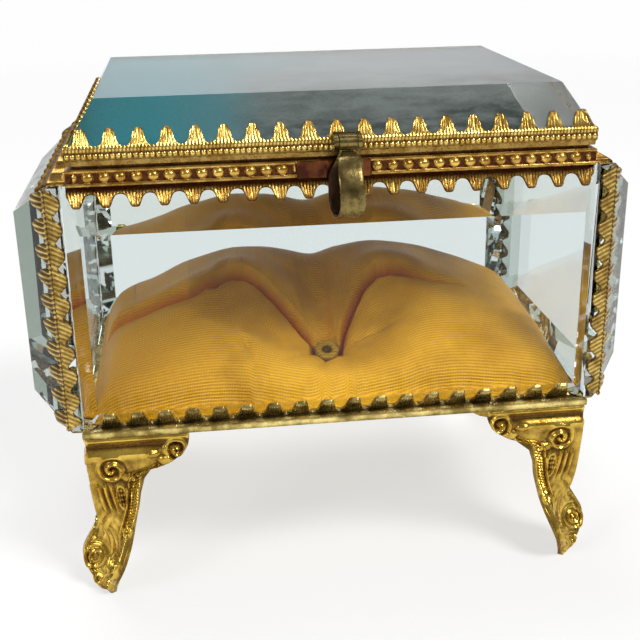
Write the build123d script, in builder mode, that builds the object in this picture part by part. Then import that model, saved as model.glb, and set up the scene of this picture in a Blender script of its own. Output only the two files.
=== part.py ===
from build123d import *
import os
from math import hypot

# Glass casket box: bevelled panes gripped by toothed sheet-brass galleries, on four cabriole
# feet, with a hinged glass lid, a hanging loop clasp and a buttoned cushion.
# Millimetres, +Z up, front towards -Y, resting on z = 0, centred on its bounding box.

# Overall sizes
case_width = 101.0  # outside of the rim and the lid trim, left to right
case_depth = 72.0  # the same, front to back
foot_height = 36.7
case_height = 54.4  # underside of the base to the top of the rim
lid_gap = 0.7  # air between the rim and the lid trim

# Sheet, seats and clearances
sheet = 0.5  # stamped brass sheet
seat = 0.3  # a pane standing off the metal that holds it
glass_gap = 0.1  # a toothed leaf standing off its bevel
mitre_gap = 0.02  # each side of a corner mitre
running_gap = 0.1  # between pieces that turn on each other

# Teeth of the galleries
tooth_pitch = 5.2  # lid, ends and posts
body_pitch = 5.46  # front and back of the case
tooth_foot = 1.45  # half width where a tooth leaves the strip
tooth_head = 0.85  # half width below its round tip
tooth_round = 0.4  # rise of the round tip
tooth_dip = 0.5  # depth of the valley between two teeth

# Front and back panes
pane_inset = 5.0  # inner face behind the rim's outer face
pane_half = 52.0
pane_edge = 2.2  # flat edge of the glass
pane_rise = 4.1  # how far the table stands proud of the edge
pane_side_run = 3.2
pane_top_run = 8.7
pane_bottom_run = 4.6

# End panes
end_offset = 1.7  # inner face outside the rim's outer face
end_half = 34.6
end_edge = 2.2
end_rise = 8.0
end_side_run = 10.1
end_top_run = 6.6
end_bottom_run = 5.4

# Lid
lid_band = 3.3  # height of the trim's upright band
lid_cove = 1.1  # height of the hollow under the band
lid_cove_depth = 0.25
lid_cove_middle = (0.2, 0.66)  # inwards and up from the foot of the band's outer face
lid_ledge = 1.5  # how far the trim turns in under the glass
lid_ledge_height = 0.6
picture_thickness = 0.3
picture_play = 0.1
lid_glass_edge = 2.1
lid_glass_height = 10.45
lid_glass_inset = 5.1  # bevel, measured level
lid_glass_play = 0.1
lid_glass_seat = 0.05  # above the picture sheet
lid_teeth_margin = 3.2
lid_leaf_valley = 0.45
lid_leaf_tip = 3.75

# Rim
rim_height = 3.2
rim_ledge = 4.0  # front and back, inwards over the pane
rim_end_ledge = 2.0
rim_shelf = 4.3  # ends only, outwards over the end pane
rim_shelf_half = 33.9
rim_lip = 1.2
rim_lip_height = 0.4
rim_bead = 0.75  # half height and projection of the bead strip
rim_bead_height = 1.7  # its middle above the underside of the rim
rim_moulding = 0.4
rim_leaf_half = 50.9
rim_neck_half = 47.4
rim_teeth_last = 49.1
rim_leaf_valley = 1.0
rim_leaf_tip = 4.5
end_leaf_half = 33.4
end_teeth_last = 28.6
end_leaf_valley = 0.8
end_leaf_tip = 3.4

# Base
base_half_width = 52.2
base_half_depth = 37.0
base_plate_thickness = 0.6
rail_height = 1.6
rail_ledge = 3.0
rail_leaf_half = 49.0
rail_teeth_last = 46.4
rail_leaf_valley = 1.7
rail_leaf_tip = 6.2
shelf_overhang = 2.6  # end rails, outwards under the end pane
shelf_half = 33.9
shelf_rise = 0.2  # underside of that shelf above the underside of the base
end_rail_leaf_tip = 3.9
end_rail_leaf_valley = 1.2

# Corner posts
post_sheet = 0.6
post_flange_start = 51.6
post_flange_reach = 36.5
post_side_reach = 55.1
post_bottom = 1.9  # above the underside of the base
post_round = 1.5
post_leaf_root = -0.15
post_leaf_valley = 1.2
post_leaf_tip = 4.6
post_tooth_top = 2.4  # middle of the highest tooth below the top of the pane
post_tooth_count = 10
post_pitch = 5.0

# Feet: height, how far the corner ridge is drawn in, inner edge of a leaf, flare of that edge
foot_wall = 1.5
foot_play = 0.4  # foot behind the face of the rail
foot_stations = [
    (0.0, 0.9, 2.4, -0.5),
    (2.8, 1.0, 2.9, -1.4),
    (5.6, 1.7, 3.9, -3.2),
    (8.5, 2.8, 5.1, -3.5),
    (11.4, 3.0, 6.4, -2.0),
    (14.3, 2.2, 7.8, 0.0),
    (17.2, 1.3, 8.8, 0.8),
    (20.1, 0.8, 9.6, 0.7),
    (23.0, 0.5, 10.0, 0.5),
    (26.4, 0.3, 10.3, 0.3),
    (29.8, 0.1, 10.5, 0.1),
    (33.2, 0.0, 10.6, 0.0),
    (foot_height, 0.0, 10.6, 0.0),
]
wing_start = 4.0
wing_length = 20.8
wing_scroll = (20.7, 1.6)  # inboard distance and depth below the base, round the wing's edge
wing_notch = (16.4, 6.6)
wing_notch_mid = (18.9, 5.4)
wing_lobe_mid = (14.8, 7.6)
wing_neck = (12.6, 7.2)
wing_neck_mid = (11.1, 8.2)
wing_bottom = (10.4, 12.0)

# Cushion on its board
board_thickness = 0.8
board_half_width = 50.6
board_half_depth = 30.4
cushion_half_depth = 30.5
cushion_seat = 0.1  # above the board
cushion_draw = 0.9  # how far the foot and the border seam are drawn in from the bulge
tuft_y = -12.5
front_middle = -21.0
crest_y = 11.0
rear_share = 0.15  # share of the crest by which the rear border stands higher than the front one
# distance along the case, then heights above the cushion's underside:
# border, middle of the front, line of the tuft, crest
cushion_stations = [
    (-51.0, 4.2, 4.9, 5.2, 5.4),
    (-47.0, 5.4, 8.2, 9.6, 11.0),
    (-38.0, 6.1, 10.6, 13.2, 16.2),
    (-29.0, 6.4, 11.4, 14.5, 19.7),
    (-20.0, 6.5, 11.1, 14.0, 21.6),
    (-12.0, 6.3, 9.4, 10.6, 21.6),
    (-6.0, 6.0, 7.3, 6.8, 20.4),
    (0.0, 5.7, 5.9, 3.8, 18.8),
    (6.0, 6.0, 7.4, 6.9, 20.6),
    (12.0, 6.3, 9.5, 10.8, 22.0),
    (20.0, 6.5, 11.4, 14.3, 22.2),
    (29.0, 6.4, 11.6, 14.9, 20.7),
    (38.0, 6.1, 10.8, 13.7, 17.6),
    (47.0, 5.4, 8.4, 10.0, 12.0),
    (51.0, 4.2, 4.9, 5.2, 5.4),
]
button_radius = 2.95
button_height = 2.0
button_crown = 0.7
button_floor = 1.4  # floor of the tuft above the cushion's underside
button_play = 0.3
thread_radius = 0.4
thread_hole = 0.8
board_hole = 0.6

# Hinge at the back
hinge_offset = 1.6  # axis behind the rim's outer face
hinge_rise = 0.35  # axis above the top of the rim
knuckle_radius = 1.5
hinge_bore = 0.75
hinge_pin_radius = 0.65
hinge_half = 15.0
lid_knuckle_half = 5.0
knuckle_gap = 0.3
hinge_sheet = 0.6
hinge_plate_drop = 3.4  # foot of the case leaf below the axis
hinge_plate_gap = 1.8  # either leaf's full-width plate starts this far from the axis
pin_head_radius = 1.1
pin_head = 0.5

# Clasp and catch at the front
clasp_x = 1.6
clasp_pin_out = 2.2  # pin in front of the trim's outer face
clasp_pin_rise = 3.0  # pin above the underside of the lid trim
clasp_pin_radius = 0.6
clasp_bore = 0.7
lug_sheet = 0.6
lug_half = 2.65
lug_bottom = 0.8  # above the underside of the lid trim
lug_top = 4.6
ear_thickness = 0.8
ear_gap = 0.15
ear_bore = 0.65
ear_radius = 1.3
clasp_knuckle_half = 1.7
clasp_knuckle_radius = 1.5
loop_half = 2.7
loop_strap = 0.8
loop_drop = 2.2  # top of the loop below the pin
loop_centre_out = 3.0  # centre of the loop's round end in front of the pin
loop_centre_drop = 9.9
loop_radius = 3.7
catch_left = -7.8
catch_right = 6.1
catch_sheet = 0.6
catch_play = 0.1
stud_radius = 1.1
stud_height = 0.65
stud_rise = 1.7

# Heights
base_z = foot_height
plate_top = base_z + base_plate_thickness
pane_bottom = plate_top + seat
rim_top = base_z + case_height
rim_bottom = rim_top - rim_height
pane_top = rim_bottom - seat
lid_bottom = rim_top + lid_gap
lid_band_top = lid_bottom + lid_band
picture_z = lid_bottom + lid_ledge_height
lid_glass_z = picture_z + picture_thickness + lid_glass_seat
lid_bevel_z = lid_glass_z + lid_glass_edge
lid_top = lid_glass_z + lid_glass_height

# Reaches from the middle of the case
half_width = case_width / 2
half_depth = case_depth / 2
pane_reach = half_depth - pane_inset
end_reach = half_width + end_offset
hinge_reach = half_depth + hinge_offset
hinge_z = rim_top + hinge_rise
clasp_reach = half_depth + clasp_pin_out
clasp_z = lid_bottom + clasp_pin_rise
foot_half_width = base_half_width - foot_play
foot_half_depth = base_half_depth - foot_play
toe_flare = -min(station[3] for station in foot_stations)

# The clasp stands out further at the front than the toes do at the back.
front_extent = clasp_reach + loop_centre_out + loop_radius
back_extent = foot_half_depth + toe_flare
case_y = (front_extent - back_extent) / 2
centre = Vector(0, case_y, 0)
up = Vector(0, 0, 1)

# Each side: direction along it, direction outwards
SIDES = {
    "front": (Vector(1, 0, 0), Vector(0, -1, 0)),
    "right": (Vector(0, 1, 0), Vector(1, 0, 0)),
    "back": (Vector(-1, 0, 0), Vector(0, 1, 0)),
    "left": (Vector(0, -1, 0), Vector(-1, 0, 0)),
}
CORNERS = {
    "front_right": (1, -1),
    "front_left": (-1, -1),
    "back_right": (1, 1),
    "back_left": (-1, 1),
}
os.makedirs("parts", exist_ok=True)


def save(part, name):
    """Label a piece and write it out."""
    part.label = name
    export_step(part, f"parts/{name}.step")


def is_long(side):
    """Front and back are the long sides."""
    return side in ("front", "back")


def section_plane(side, along_at=0.0):
    """Plane across a side: local X is the reach from the middle, local Y is the height."""
    along, outward = SIDES[side]
    return Plane(origin=centre + along * along_at, x_dir=outward, z_dir=outward.cross(up))


def face_plane(side, reach):
    """Plane seen from outside a side: local X runs along it, local Y is the height."""
    along, outward = SIDES[side]
    return Plane(origin=centre + outward * reach, x_dir=along, z_dir=outward)


def mitre_plane(side, end, reach, half):
    """Upright plane at 45 degrees through a corner, pointing off the piece."""
    along, outward = SIDES[side]
    corner = centre + outward * reach + along * (end * (half - mitre_gap))
    return Plane(origin=corner, z_dir=along * end - outward)


def leaf_plane(edge, slope, outward):
    """Plane just off a bevel: local Y climbs it from the edge of the glass to its table."""
    slope = slope.normalized()
    normal = (outward - slope * outward.dot(slope)).normalized()
    return Plane(origin=edge + normal * glass_gap, x_dir=slope.cross(normal), z_dir=normal)


def side_leaf_plane(side, reach, height, rise, run):
    """Leaf plane of a level gallery on one side."""
    outward = SIDES[side][1]
    edge = centre + outward * reach + up * height
    return leaf_plane(edge, outward * rise + up * run, outward)


def toothed_strip(plane, half, root, valley, tip, middles):
    """Face of a gallery leaf: a strip whose far edge is cut into round-tipped teeth."""
    shoulder = tip - tooth_round
    with BuildSketch(plane) as strip:
        with BuildLine():
            Polyline((middles[0] - tooth_foot, valley), (-half, valley), (-half, root))
            Polyline((-half, root), (half, root), (half, valley))
            Line((half, valley), (middles[-1] + tooth_foot, valley))
            for place, x in enumerate(middles):
                Line((x + tooth_foot, valley), (x + tooth_head, shoulder))
                ThreePointArc((x + tooth_head, shoulder), (x, tip), (x - tooth_head, shoulder))
                Line((x - tooth_head, shoulder), (x - tooth_foot, valley))
                if place:
                    before = middles[place - 1]
                    Polyline(
                        (x - tooth_foot, valley),
                        ((x + before) / 2, valley - tooth_dip),
                        (before + tooth_foot, valley),
                    )
        make_face()
    return strip.sketch


def even_row(last, pitch):
    """Tooth middles from -last to last at the nearest pitch that fits."""
    count = round(2 * last / pitch)
    return [last * (2 * place / count - 1) for place in range(count + 1)]


# Base plate
with BuildPart() as base_plate:
    with BuildSketch(Plane(origin=centre + up * base_z)):
        Rectangle(
            2 * (base_half_width - sheet - running_gap),
            2 * (base_half_depth - sheet - running_gap),
        )
    extrude(amount=base_plate_thickness)
save(base_plate.part, "base_plate")


def base_rail(side):
    """Gallery under a pane: an upright band, a ledge or shelf, and teeth up the bevel."""
    along, outward = SIDES[side]
    reach, half = base_half_depth, base_half_width
    leaf = toothed_strip(
        side_leaf_plane(side, pane_reach + pane_edge, pane_bottom, pane_rise, pane_bottom_run),
        rail_leaf_half,
        seat,
        rail_leaf_valley,
        rail_leaf_tip,
        even_row(rail_teeth_last, body_pitch),
    )
    if not is_long(side):
        reach, half = base_half_width, base_half_depth
        leaf = toothed_strip(
            side_leaf_plane(side, end_reach + end_edge, pane_bottom, end_rise, end_bottom_run),
            end_leaf_half,
            -seat,
            end_rail_leaf_valley,
            end_rail_leaf_tip,
            even_row(end_teeth_last, tooth_pitch),
        )
    with BuildPart() as rail:
        with BuildSketch(section_plane(side)):
            with BuildLine():
                if is_long(side):
                    top = base_z + rail_height
                    Polyline(
                        (reach, base_z),
                        (reach, top),
                        (reach - rail_ledge, top),
                        (reach - rail_ledge, top - sheet),
                        (reach - sheet, top - sheet),
                        (reach - sheet, base_z),
                        close=True,
                    )
                else:
                    top = base_z + shelf_rise + sheet
                    Polyline(
                        (reach, base_z),
                        (reach, top),
                        (reach - sheet, top),
                        (reach - sheet, base_z),
                        close=True,
                    )
            make_face()
        extrude(amount=half, both=True)
        split(bisect_by=mitre_plane(side, 1, reach, half), keep=Keep.BOTTOM)
        split(bisect_by=mitre_plane(side, -1, reach, half), keep=Keep.BOTTOM)
        if not is_long(side):
            with BuildSketch(section_plane(side)):
                with Locations((reach + (shelf_overhang - sheet) / 2, top - sheet / 2)):
                    Rectangle(shelf_overhang + sheet, sheet)
            extrude(amount=shelf_half, both=True)
        extrude(leaf, amount=sheet)
    return rail.part


def glass_pane(side):
    """Bevelled pane: a flat edge, then a bevel on each side up to a proud table."""
    if is_long(side):
        reach, half, edge, rise = pane_reach, pane_half, pane_edge, pane_rise
        side_run, top_run, bottom_run = pane_side_run, pane_top_run, pane_bottom_run
    else:
        reach, half, edge, rise = end_reach, end_half, end_edge, end_rise
        side_run, top_run, bottom_run = end_side_run, end_top_run, end_bottom_run
    middle = (pane_bottom + pane_top) / 2
    height = pane_top - pane_bottom
    table = height - top_run - bottom_run
    table_middle = pane_bottom + bottom_run + table / 2
    with BuildPart() as pane:
        with BuildSketch(face_plane(side, reach)):
            with Locations((0, middle)):
                Rectangle(2 * half, height)
        extrude(amount=edge)
        with BuildSketch(face_plane(side, reach + edge)):
            with Locations((0, middle)):
                Rectangle(2 * half, height)
        with BuildSketch(face_plane(side, reach + edge + rise)):
            with Locations((0, table_middle)):
                Rectangle(2 * (half - side_run), table)
        loft(ruled=True)
    return pane.part


def rim_rail(side):
    """Gallery over a pane: lip, bead strip, moulding, ledge, and teeth down the bevel."""
    if is_long(side):
        reach, half, ledge = half_depth, half_width, rim_ledge
        plane = side_leaf_plane(side, pane_reach + pane_edge, pane_top, pane_rise, -pane_top_run)
        leaf = toothed_strip(
            plane,
            rim_leaf_half,
            glass_gap,
            rim_leaf_valley,
            rim_leaf_tip,
            even_row(rim_teeth_last, body_pitch),
        )
    else:
        reach, half, ledge = half_width, half_depth, rim_end_ledge
        plane = side_leaf_plane(side, end_reach + end_edge, pane_top, end_rise, -end_top_run)
        leaf = toothed_strip(
            plane,
            end_leaf_half,
            -sheet,
            end_leaf_valley,
            end_leaf_tip,
            even_row(end_teeth_last, tooth_pitch),
        )
    bead_low = rim_bottom + rim_bead_height - rim_bead
    bead_high = bead_low + 2 * rim_bead
    moulding_top = rim_bottom + 2 * rim_moulding
    with BuildPart() as rim:
        with BuildSketch(section_plane(side)):
            with BuildLine():
                Line((reach - ledge, rim_bottom), (reach, rim_bottom))
                ThreePointArc(
                    (reach, rim_bottom),
                    (reach + rim_moulding, rim_bottom + rim_moulding),
                    (reach, moulding_top),
                )
                Line((reach, moulding_top), (reach, bead_low))
                ThreePointArc(
                    (reach, bead_low),
                    (reach + rim_bead, bead_low + rim_bead),
                    (reach, bead_high),
                )
                Polyline(
                    (reach, bead_high),
                    (reach, rim_top),
                    (reach - rim_lip, rim_top),
                    (reach - rim_lip, rim_top - rim_lip_height),
                    (reach - sheet, rim_top - rim_lip_height),
                    (reach - sheet, rim_bottom + sheet),
                    (reach - ledge, rim_bottom + sheet),
                    (reach - ledge, rim_bottom),
                )
            make_face()
        extrude(amount=half + rim_bead, both=True)
        split(bisect_by=mitre_plane(side, 1, reach, half), keep=Keep.BOTTOM)
        split(bisect_by=mitre_plane(side, -1, reach, half), keep=Keep.BOTTOM)
        if is_long(side):
            with BuildSketch(plane):
                with Locations((0, 0)):
                    Rectangle(2 * rim_neck_half, 2 * sheet)
            extrude(amount=sheet)
        else:
            with BuildSketch(section_plane(side)):
                with Locations((reach + rim_shelf / 2, rim_bottom + sheet / 2)):
                    Rectangle(rim_shelf, sheet)
            extrude(amount=rim_shelf_half, both=True)
        extrude(leaf, amount=sheet)
        if side == "front":
            catch_middle = (catch_left + catch_right) / 2
            catch_length = catch_right - catch_left + 2 * catch_play
            with BuildSketch(face_plane(side, reach)):
                with Locations((catch_middle, rim_bottom + rim_height / 2)):
                    Rectangle(catch_length, rim_height + rim_moulding)
            extrude(amount=2 * rim_bead, mode=Mode.SUBTRACT)
        if side == "back":
            with BuildSketch(face_plane(side, reach)):
                with Locations((0, rim_bottom + rim_height / 2)):
                    Rectangle(2 * (hinge_half + knuckle_gap), rim_height + rim_moulding)
            extrude(amount=2 * rim_bead, mode=Mode.SUBTRACT)
    return rim.part


def lid_trim(side):
    """Gallery round the lid glass: cove, band, ledge under the glass, teeth up its bevel."""
    if is_long(side):
        reach, half = half_depth, half_width
    else:
        reach, half = half_width, half_depth
    play = sheet + lid_glass_play
    plane = side_leaf_plane(
        side, reach - play, lid_bevel_z, -lid_glass_inset, lid_glass_height - lid_glass_edge
    )
    leaf = toothed_strip(
        plane,
        half - play,
        -glass_gap,
        lid_leaf_valley,
        lid_leaf_tip,
        even_row(half - lid_teeth_margin, tooth_pitch),
    )
    with BuildPart() as trim:
        with BuildSketch(section_plane(side)):
            with BuildLine():
                cove_top = lid_bottom + lid_cove
                ThreePointArc(
                    (reach - lid_cove_depth, lid_bottom),
                    (reach - lid_cove_middle[0], lid_bottom + lid_cove_middle[1]),
                    (reach, cove_top),
                )
                Polyline(
                    (reach, cove_top),
                    (reach, lid_band_top),
                    (reach - sheet, lid_band_top),
                    (reach - sheet, picture_z),
                    (reach - lid_ledge, picture_z),
                    (reach - lid_ledge, lid_bottom),
                    (reach - lid_cove_depth, lid_bottom),
                )
            make_face()
        extrude(amount=half, both=True)
        extrude(leaf, amount=sheet)
        split(bisect_by=mitre_plane(side, 1, reach, half), keep=Keep.BOTTOM)
        split(bisect_by=mitre_plane(side, -1, reach, half), keep=Keep.BOTTOM)
    return trim.part


for side in SIDES:
    save(base_rail(side), f"base_rail_{side}")
    save(glass_pane(side), f"glass_{side}")
    save(rim_rail(side), f"rim_{side}")
    save(lid_trim(side), f"lid_trim_{side}")

# Corner post: an upright L of sheet with a rounded foot and a toothed leaf on the end pane
post_z = base_z + post_bottom
post_edge = centre + Vector(end_reach + end_edge, -end_half, 0)
post_slope = Vector(end_rise, end_side_run, 0)
post_plane = leaf_plane(post_edge, post_slope, Vector(1, 0, 0))
post_top_tooth = pane_top - post_tooth_top
post_heights = [post_top_tooth - post_pitch * place for place in range(post_tooth_count)]
post_middle = (post_z + post_round + pane_top) / 2
post_leaf = toothed_strip(
    Plane(origin=post_plane.origin + up * post_middle, x_dir=post_plane.x_dir, z_dir=post_plane.z_dir),
    (pane_top - post_z - post_round) / 2,
    post_leaf_root,
    post_leaf_valley,
    post_leaf_tip,
    sorted(post_plane.x_dir.Z * (height - post_middle) for height in post_heights),
)
with BuildPart() as post_front_right:
    with BuildSketch(Plane(origin=centre + up * post_z)):
        with BuildLine():
            Polyline(
                (post_flange_start, -post_flange_reach),
                (post_side_reach, -post_flange_reach),
                (post_side_reach, -end_half),
                (post_side_reach - post_sheet, -end_half),
                (post_side_reach - post_sheet, -post_flange_reach + post_sheet),
                (post_flange_start, -post_flange_reach + post_sheet),
                close=True,
            )
        make_face()
        outer_corner = vertices().sort_by(Axis.Y)[:2].sort_by(Axis.X)[-1]
        fillet(outer_corner, radius=post_sheet)
    extrude(amount=pane_top - post_z)
    with BuildSketch(face_plane("front", 0)) as post_outline:
        with Locations(((post_flange_start + post_side_reach) / 2, (post_z + pane_top) / 2)):
            Rectangle(post_side_reach - post_flange_start, pane_top - post_z)
        fillet(post_outline.vertices().sort_by(Axis.Z)[:2], radius=post_round)
    extrude(amount=2 * post_flange_reach, mode=Mode.INTERSECT)
    extrude(post_leaf, amount=sheet)


def foot_section(station):
    """Bent-sheet section of a foot at one height, in inboard distances from its corner."""
    height, ridge, edge, flare = station
    run, back = edge - ridge, flare - ridge
    length = hypot(run, back)
    away_x, away_y = -back / length, run / length
    inner = ridge + foot_wall / (away_x + away_y)
    inner_x, inner_y = edge + foot_wall * away_x, flare + foot_wall * away_y
    return [
        (edge, flare),
        (ridge, ridge),
        (flare, edge),
        (inner_y, inner_x),
        (inner, inner),
        (inner_x, inner_y),
    ]


# Foot: local X and Y run inboard along the front and the right end from the corner
foot_corner = centre + Vector(foot_half_width, -foot_half_depth, 0)
foot_wing_plane = Plane(
    origin=foot_corner + up * base_z, x_dir=Vector(-1, 0, 0), z_dir=Vector(0, 1, 0)
)
with BuildPart() as foot_front_right:
    for station in foot_stations:
        with BuildSketch(
            Plane(origin=foot_corner + up * station[0], x_dir=(-1, 0, 0), z_dir=(0, 0, -1))
        ):
            Polygon(*foot_section(station), align=None)
    loft(ruled=True)
    with BuildSketch(foot_wing_plane):
        with BuildLine():
            Line((wing_start, 0), (wing_length, 0))
            Line((wing_length, 0), (wing_scroll[0], -wing_scroll[1]))
            ThreePointArc(
                (wing_scroll[0], -wing_scroll[1]),
                (wing_notch_mid[0], -wing_notch_mid[1]),
                (wing_notch[0], -wing_notch[1]),
            )
            ThreePointArc(
                (wing_notch[0], -wing_notch[1]),
                (wing_lobe_mid[0], -wing_lobe_mid[1]),
                (wing_neck[0], -wing_neck[1]),
            )
            ThreePointArc(
                (wing_neck[0], -wing_neck[1]),
                (wing_neck_mid[0], -wing_neck_mid[1]),
                (wing_bottom[0], -wing_bottom[1]),
            )
            Polyline((wing_bottom[0], -wing_bottom[1]), (wing_start, -wing_bottom[1]), (wing_start, 0))
        make_face()
    front_wing = extrude(amount=foot_wall)
    mirror(
        front_wing,
        about=Plane(origin=foot_corner, z_dir=(1, 1, 0)),
    )

for corner, (side_x, side_y) in CORNERS.items():
    for name, pattern in (("corner_post", post_front_right), ("foot", foot_front_right)):
        with BuildPart() as copy:
            add(pattern.part)
            if side_x < 0:
                mirror(about=Plane(origin=centre, z_dir=(1, 0, 0)), mode=Mode.REPLACE)
            if side_y > 0:
                mirror(about=Plane(origin=centre, z_dir=(0, 1, 0)), mode=Mode.REPLACE)
        save(copy.part, f"{name}_{corner}")

# Lid glass and the picture sheet under it
with BuildPart() as lid_glass:
    glass_x = half_width - sheet - lid_glass_play
    glass_y = half_depth - sheet - lid_glass_play
    with BuildSketch(Plane(origin=centre + up * lid_glass_z)):
        Rectangle(2 * glass_x, 2 * glass_y)
    extrude(amount=lid_glass_edge)
    with BuildSketch(Plane(origin=centre + up * lid_bevel_z)):
        Rectangle(2 * glass_x, 2 * glass_y)
    with BuildSketch(Plane(origin=centre + up * lid_top)):
        Rectangle(2 * (glass_x - lid_glass_inset), 2 * (glass_y - lid_glass_inset))
    loft(ruled=True)
save(lid_glass.part, "lid_glass")

with BuildPart() as lid_picture:
    with BuildSketch(Plane(origin=centre + up * picture_z)):
        Rectangle(
            2 * (half_width - sheet - picture_play), 2 * (half_depth - sheet - picture_play)
        )
    extrude(amount=picture_thickness)
save(lid_picture.part, "lid_picture")

# Cushion on its board, drawn down by a covered button
board_z = pane_bottom
cushion_z = board_z + board_thickness + cushion_seat
tuft = centre + Vector(0, tuft_y, 0)
with BuildPart() as cushion_board:
    with BuildSketch(Plane(origin=centre + up * board_z)):
        Rectangle(2 * board_half_width, 2 * board_half_depth)
        with Locations((0, tuft_y)):
            Circle(board_hole, mode=Mode.SUBTRACT)
    extrude(amount=board_thickness)
save(cushion_board.part, "cushion_board")

with BuildPart() as cushion:
    for x, border, front, middle, crest in cushion_stations:
        with BuildSketch(section_plane("back", -x)):
            with BuildLine():
                half, low = cushion_half_depth, cushion_z
                inner = half - cushion_draw
                rear_border = border + rear_share * (crest - border)
                Line((-inner, low), (inner, low))
                ThreePointArc((inner, low), (half, low + border / 2), (inner, low + rear_border))
                ThreePointArc(
                    (inner, low + rear_border), (crest_y, low + crest), (tuft_y, low + middle)
                )
                ThreePointArc(
                    (tuft_y, low + middle), (front_middle, low + front), (-inner, low + border)
                )
                ThreePointArc((-inner, low + border), (-half, low + border / 2), (-inner, low))
            make_face()
    loft(ruled=True)
    with BuildSketch(Plane(origin=tuft + up * (cushion_z + button_floor))):
        Circle(button_radius + button_play)
    extrude(amount=pane_top - cushion_z, mode=Mode.SUBTRACT)
    with BuildSketch(Plane(origin=tuft + up * cushion_z)):
        Circle(thread_hole)
    extrude(amount=button_floor, mode=Mode.SUBTRACT)
save(cushion.part, "cushion")

button_z = cushion_z + button_floor + button_play
with BuildPart() as cushion_button:
    with BuildSketch(Plane(origin=tuft, x_dir=(1, 0, 0), z_dir=(0, -1, 0))):
        with BuildLine():
            edge_top = button_z + button_height - button_crown
            Polyline(
                (0, button_z + button_height),
                (0, button_z),
                (button_radius, button_z),
                (button_radius, edge_top),
            )
            TangentArc(
                (0, button_z + button_height), (button_radius, edge_top), tangent=(1, 0)
            )
        make_face()
    revolve(axis=Axis(tuft, up))
save(cushion_button.part, "cushion_button")

with BuildPart() as tuft_thread:
    with BuildSketch(Plane(origin=tuft + up * (plate_top + running_gap))):
        Circle(thread_radius)
    extrude(amount=button_z - plate_top - running_gap)
save(tuft_thread.part, "tuft_thread")


def hinge_leaf(plate_low, plate_high, tab_low, tab_high, spans):
    """Hinge leaf: a plate on the back, with tabs carrying its knuckles round the pin."""
    middles = [((low + high) / 2, high - low) for low, high in spans]
    with BuildPart() as leaf:
        with BuildSketch(face_plane("back", half_depth)):
            with Locations((0, (plate_low + plate_high) / 2)):
                Rectangle(2 * hinge_half, plate_high - plate_low)
            for middle, length in middles:
                with Locations((middle, (tab_low + tab_high) / 2)):
                    Rectangle(length, tab_high - tab_low)
        extrude(amount=hinge_sheet)
        for middle, length in middles:
            with BuildSketch(section_plane("back", middle)):
                with Locations((hinge_reach, hinge_z)):
                    Circle(knuckle_radius)
            extrude(amount=length / 2, both=True)
        with BuildSketch(section_plane("back")):
            with Locations((hinge_reach, hinge_z)):
                Circle(hinge_bore)
        extrude(amount=hinge_half, both=True, mode=Mode.SUBTRACT)
    return leaf.part


case_knuckle = lid_knuckle_half + knuckle_gap
save(
    hinge_leaf(
        hinge_z - hinge_plate_drop,
        hinge_z - hinge_plate_gap,
        hinge_z - hinge_plate_gap,
        hinge_z,
        [(case_knuckle, hinge_half), (-hinge_half, -case_knuckle)],
    ),
    "hinge_leaf_body",
)
save(
    hinge_leaf(
        hinge_z + hinge_plate_gap,
        lid_band_top,
        hinge_z,
        hinge_z + hinge_plate_gap,
        [(-lid_knuckle_half, lid_knuckle_half)],
    ),
    "hinge_leaf_lid",
)
with BuildPart() as hinge_pin:
    with BuildSketch(section_plane("back")):
        with Locations((hinge_reach, hinge_z)):
            Circle(hinge_pin_radius)
    extrude(amount=hinge_half + running_gap + pin_head / 2, both=True)
    for end in (-1, 1):
        with BuildSketch(section_plane("back", end * (hinge_half + running_gap + pin_head / 2))):
            with Locations((hinge_reach, hinge_z)):
                Circle(pin_head_radius)
        extrude(amount=pin_head / 2, both=True)
save(hinge_pin.part, "hinge_pin")

# Catch plate soldered over the bead strip, with a low stud that the clasp hangs in front of
with BuildPart() as catch_plate:
    with BuildSketch(face_plane("front", half_depth)):
        with Locations(((catch_left + catch_right) / 2, rim_bottom + rim_height / 2)):
            Rectangle(catch_right - catch_left, rim_height)
    extrude(amount=catch_sheet)
save(catch_plate.part, "catch_plate")

with BuildPart() as catch_stud:
    stud_axis = face_plane("front", half_depth + catch_sheet).origin
    stud_at = stud_axis + Vector(clasp_x, 0, rim_bottom + stud_rise)
    with BuildSketch(Plane(origin=stud_at, x_dir=(1, 0, 0), z_dir=(0, 0, 1))):
        with BuildLine():
            Polyline((0, -stud_height), (0, 0), (stud_radius, 0))
            TangentArc((0, -stud_height), (stud_radius, 0), tangent=(1, 0))
        make_face()
    revolve(axis=Axis(stud_at, (0, 1, 0)))
save(catch_stud.part, "catch_stud")

# Clasp lug on the lid trim: a plate with two ears that carry the pin
with BuildPart() as clasp_lug:
    with BuildSketch(face_plane("front", half_depth)):
        with Locations((clasp_x, lid_bottom + (lug_bottom + lug_top) / 2)):
            Rectangle(2 * lug_half, lug_top - lug_bottom)
    extrude(amount=lug_sheet)
    for end in (-1, 1):
        ear_middle = clasp_x + end * (clasp_knuckle_half + ear_gap + ear_thickness / 2)
        with BuildSketch(section_plane("front", ear_middle)):
            with Locations((clasp_reach, clasp_z)):
                Circle(ear_radius)
            with Locations(((half_depth + clasp_reach) / 2, clasp_z)):
                Rectangle(clasp_pin_out, 2 * ear_radius)
        extrude(amount=ear_thickness / 2, both=True)
    with BuildSketch(section_plane("front", clasp_x)):
        with Locations((clasp_reach, clasp_z)):
            Circle(ear_bore)
    extrude(amount=lug_half, both=True, mode=Mode.SUBTRACT)
save(clasp_lug.part, "clasp_lug")

with BuildPart() as clasp_pin:
    with BuildSketch(section_plane("front", clasp_x)):
        with Locations((clasp_reach, clasp_z)):
            Circle(clasp_pin_radius)
    extrude(amount=lug_half, both=True)
save(clasp_pin.part, "clasp_pin")

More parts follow.
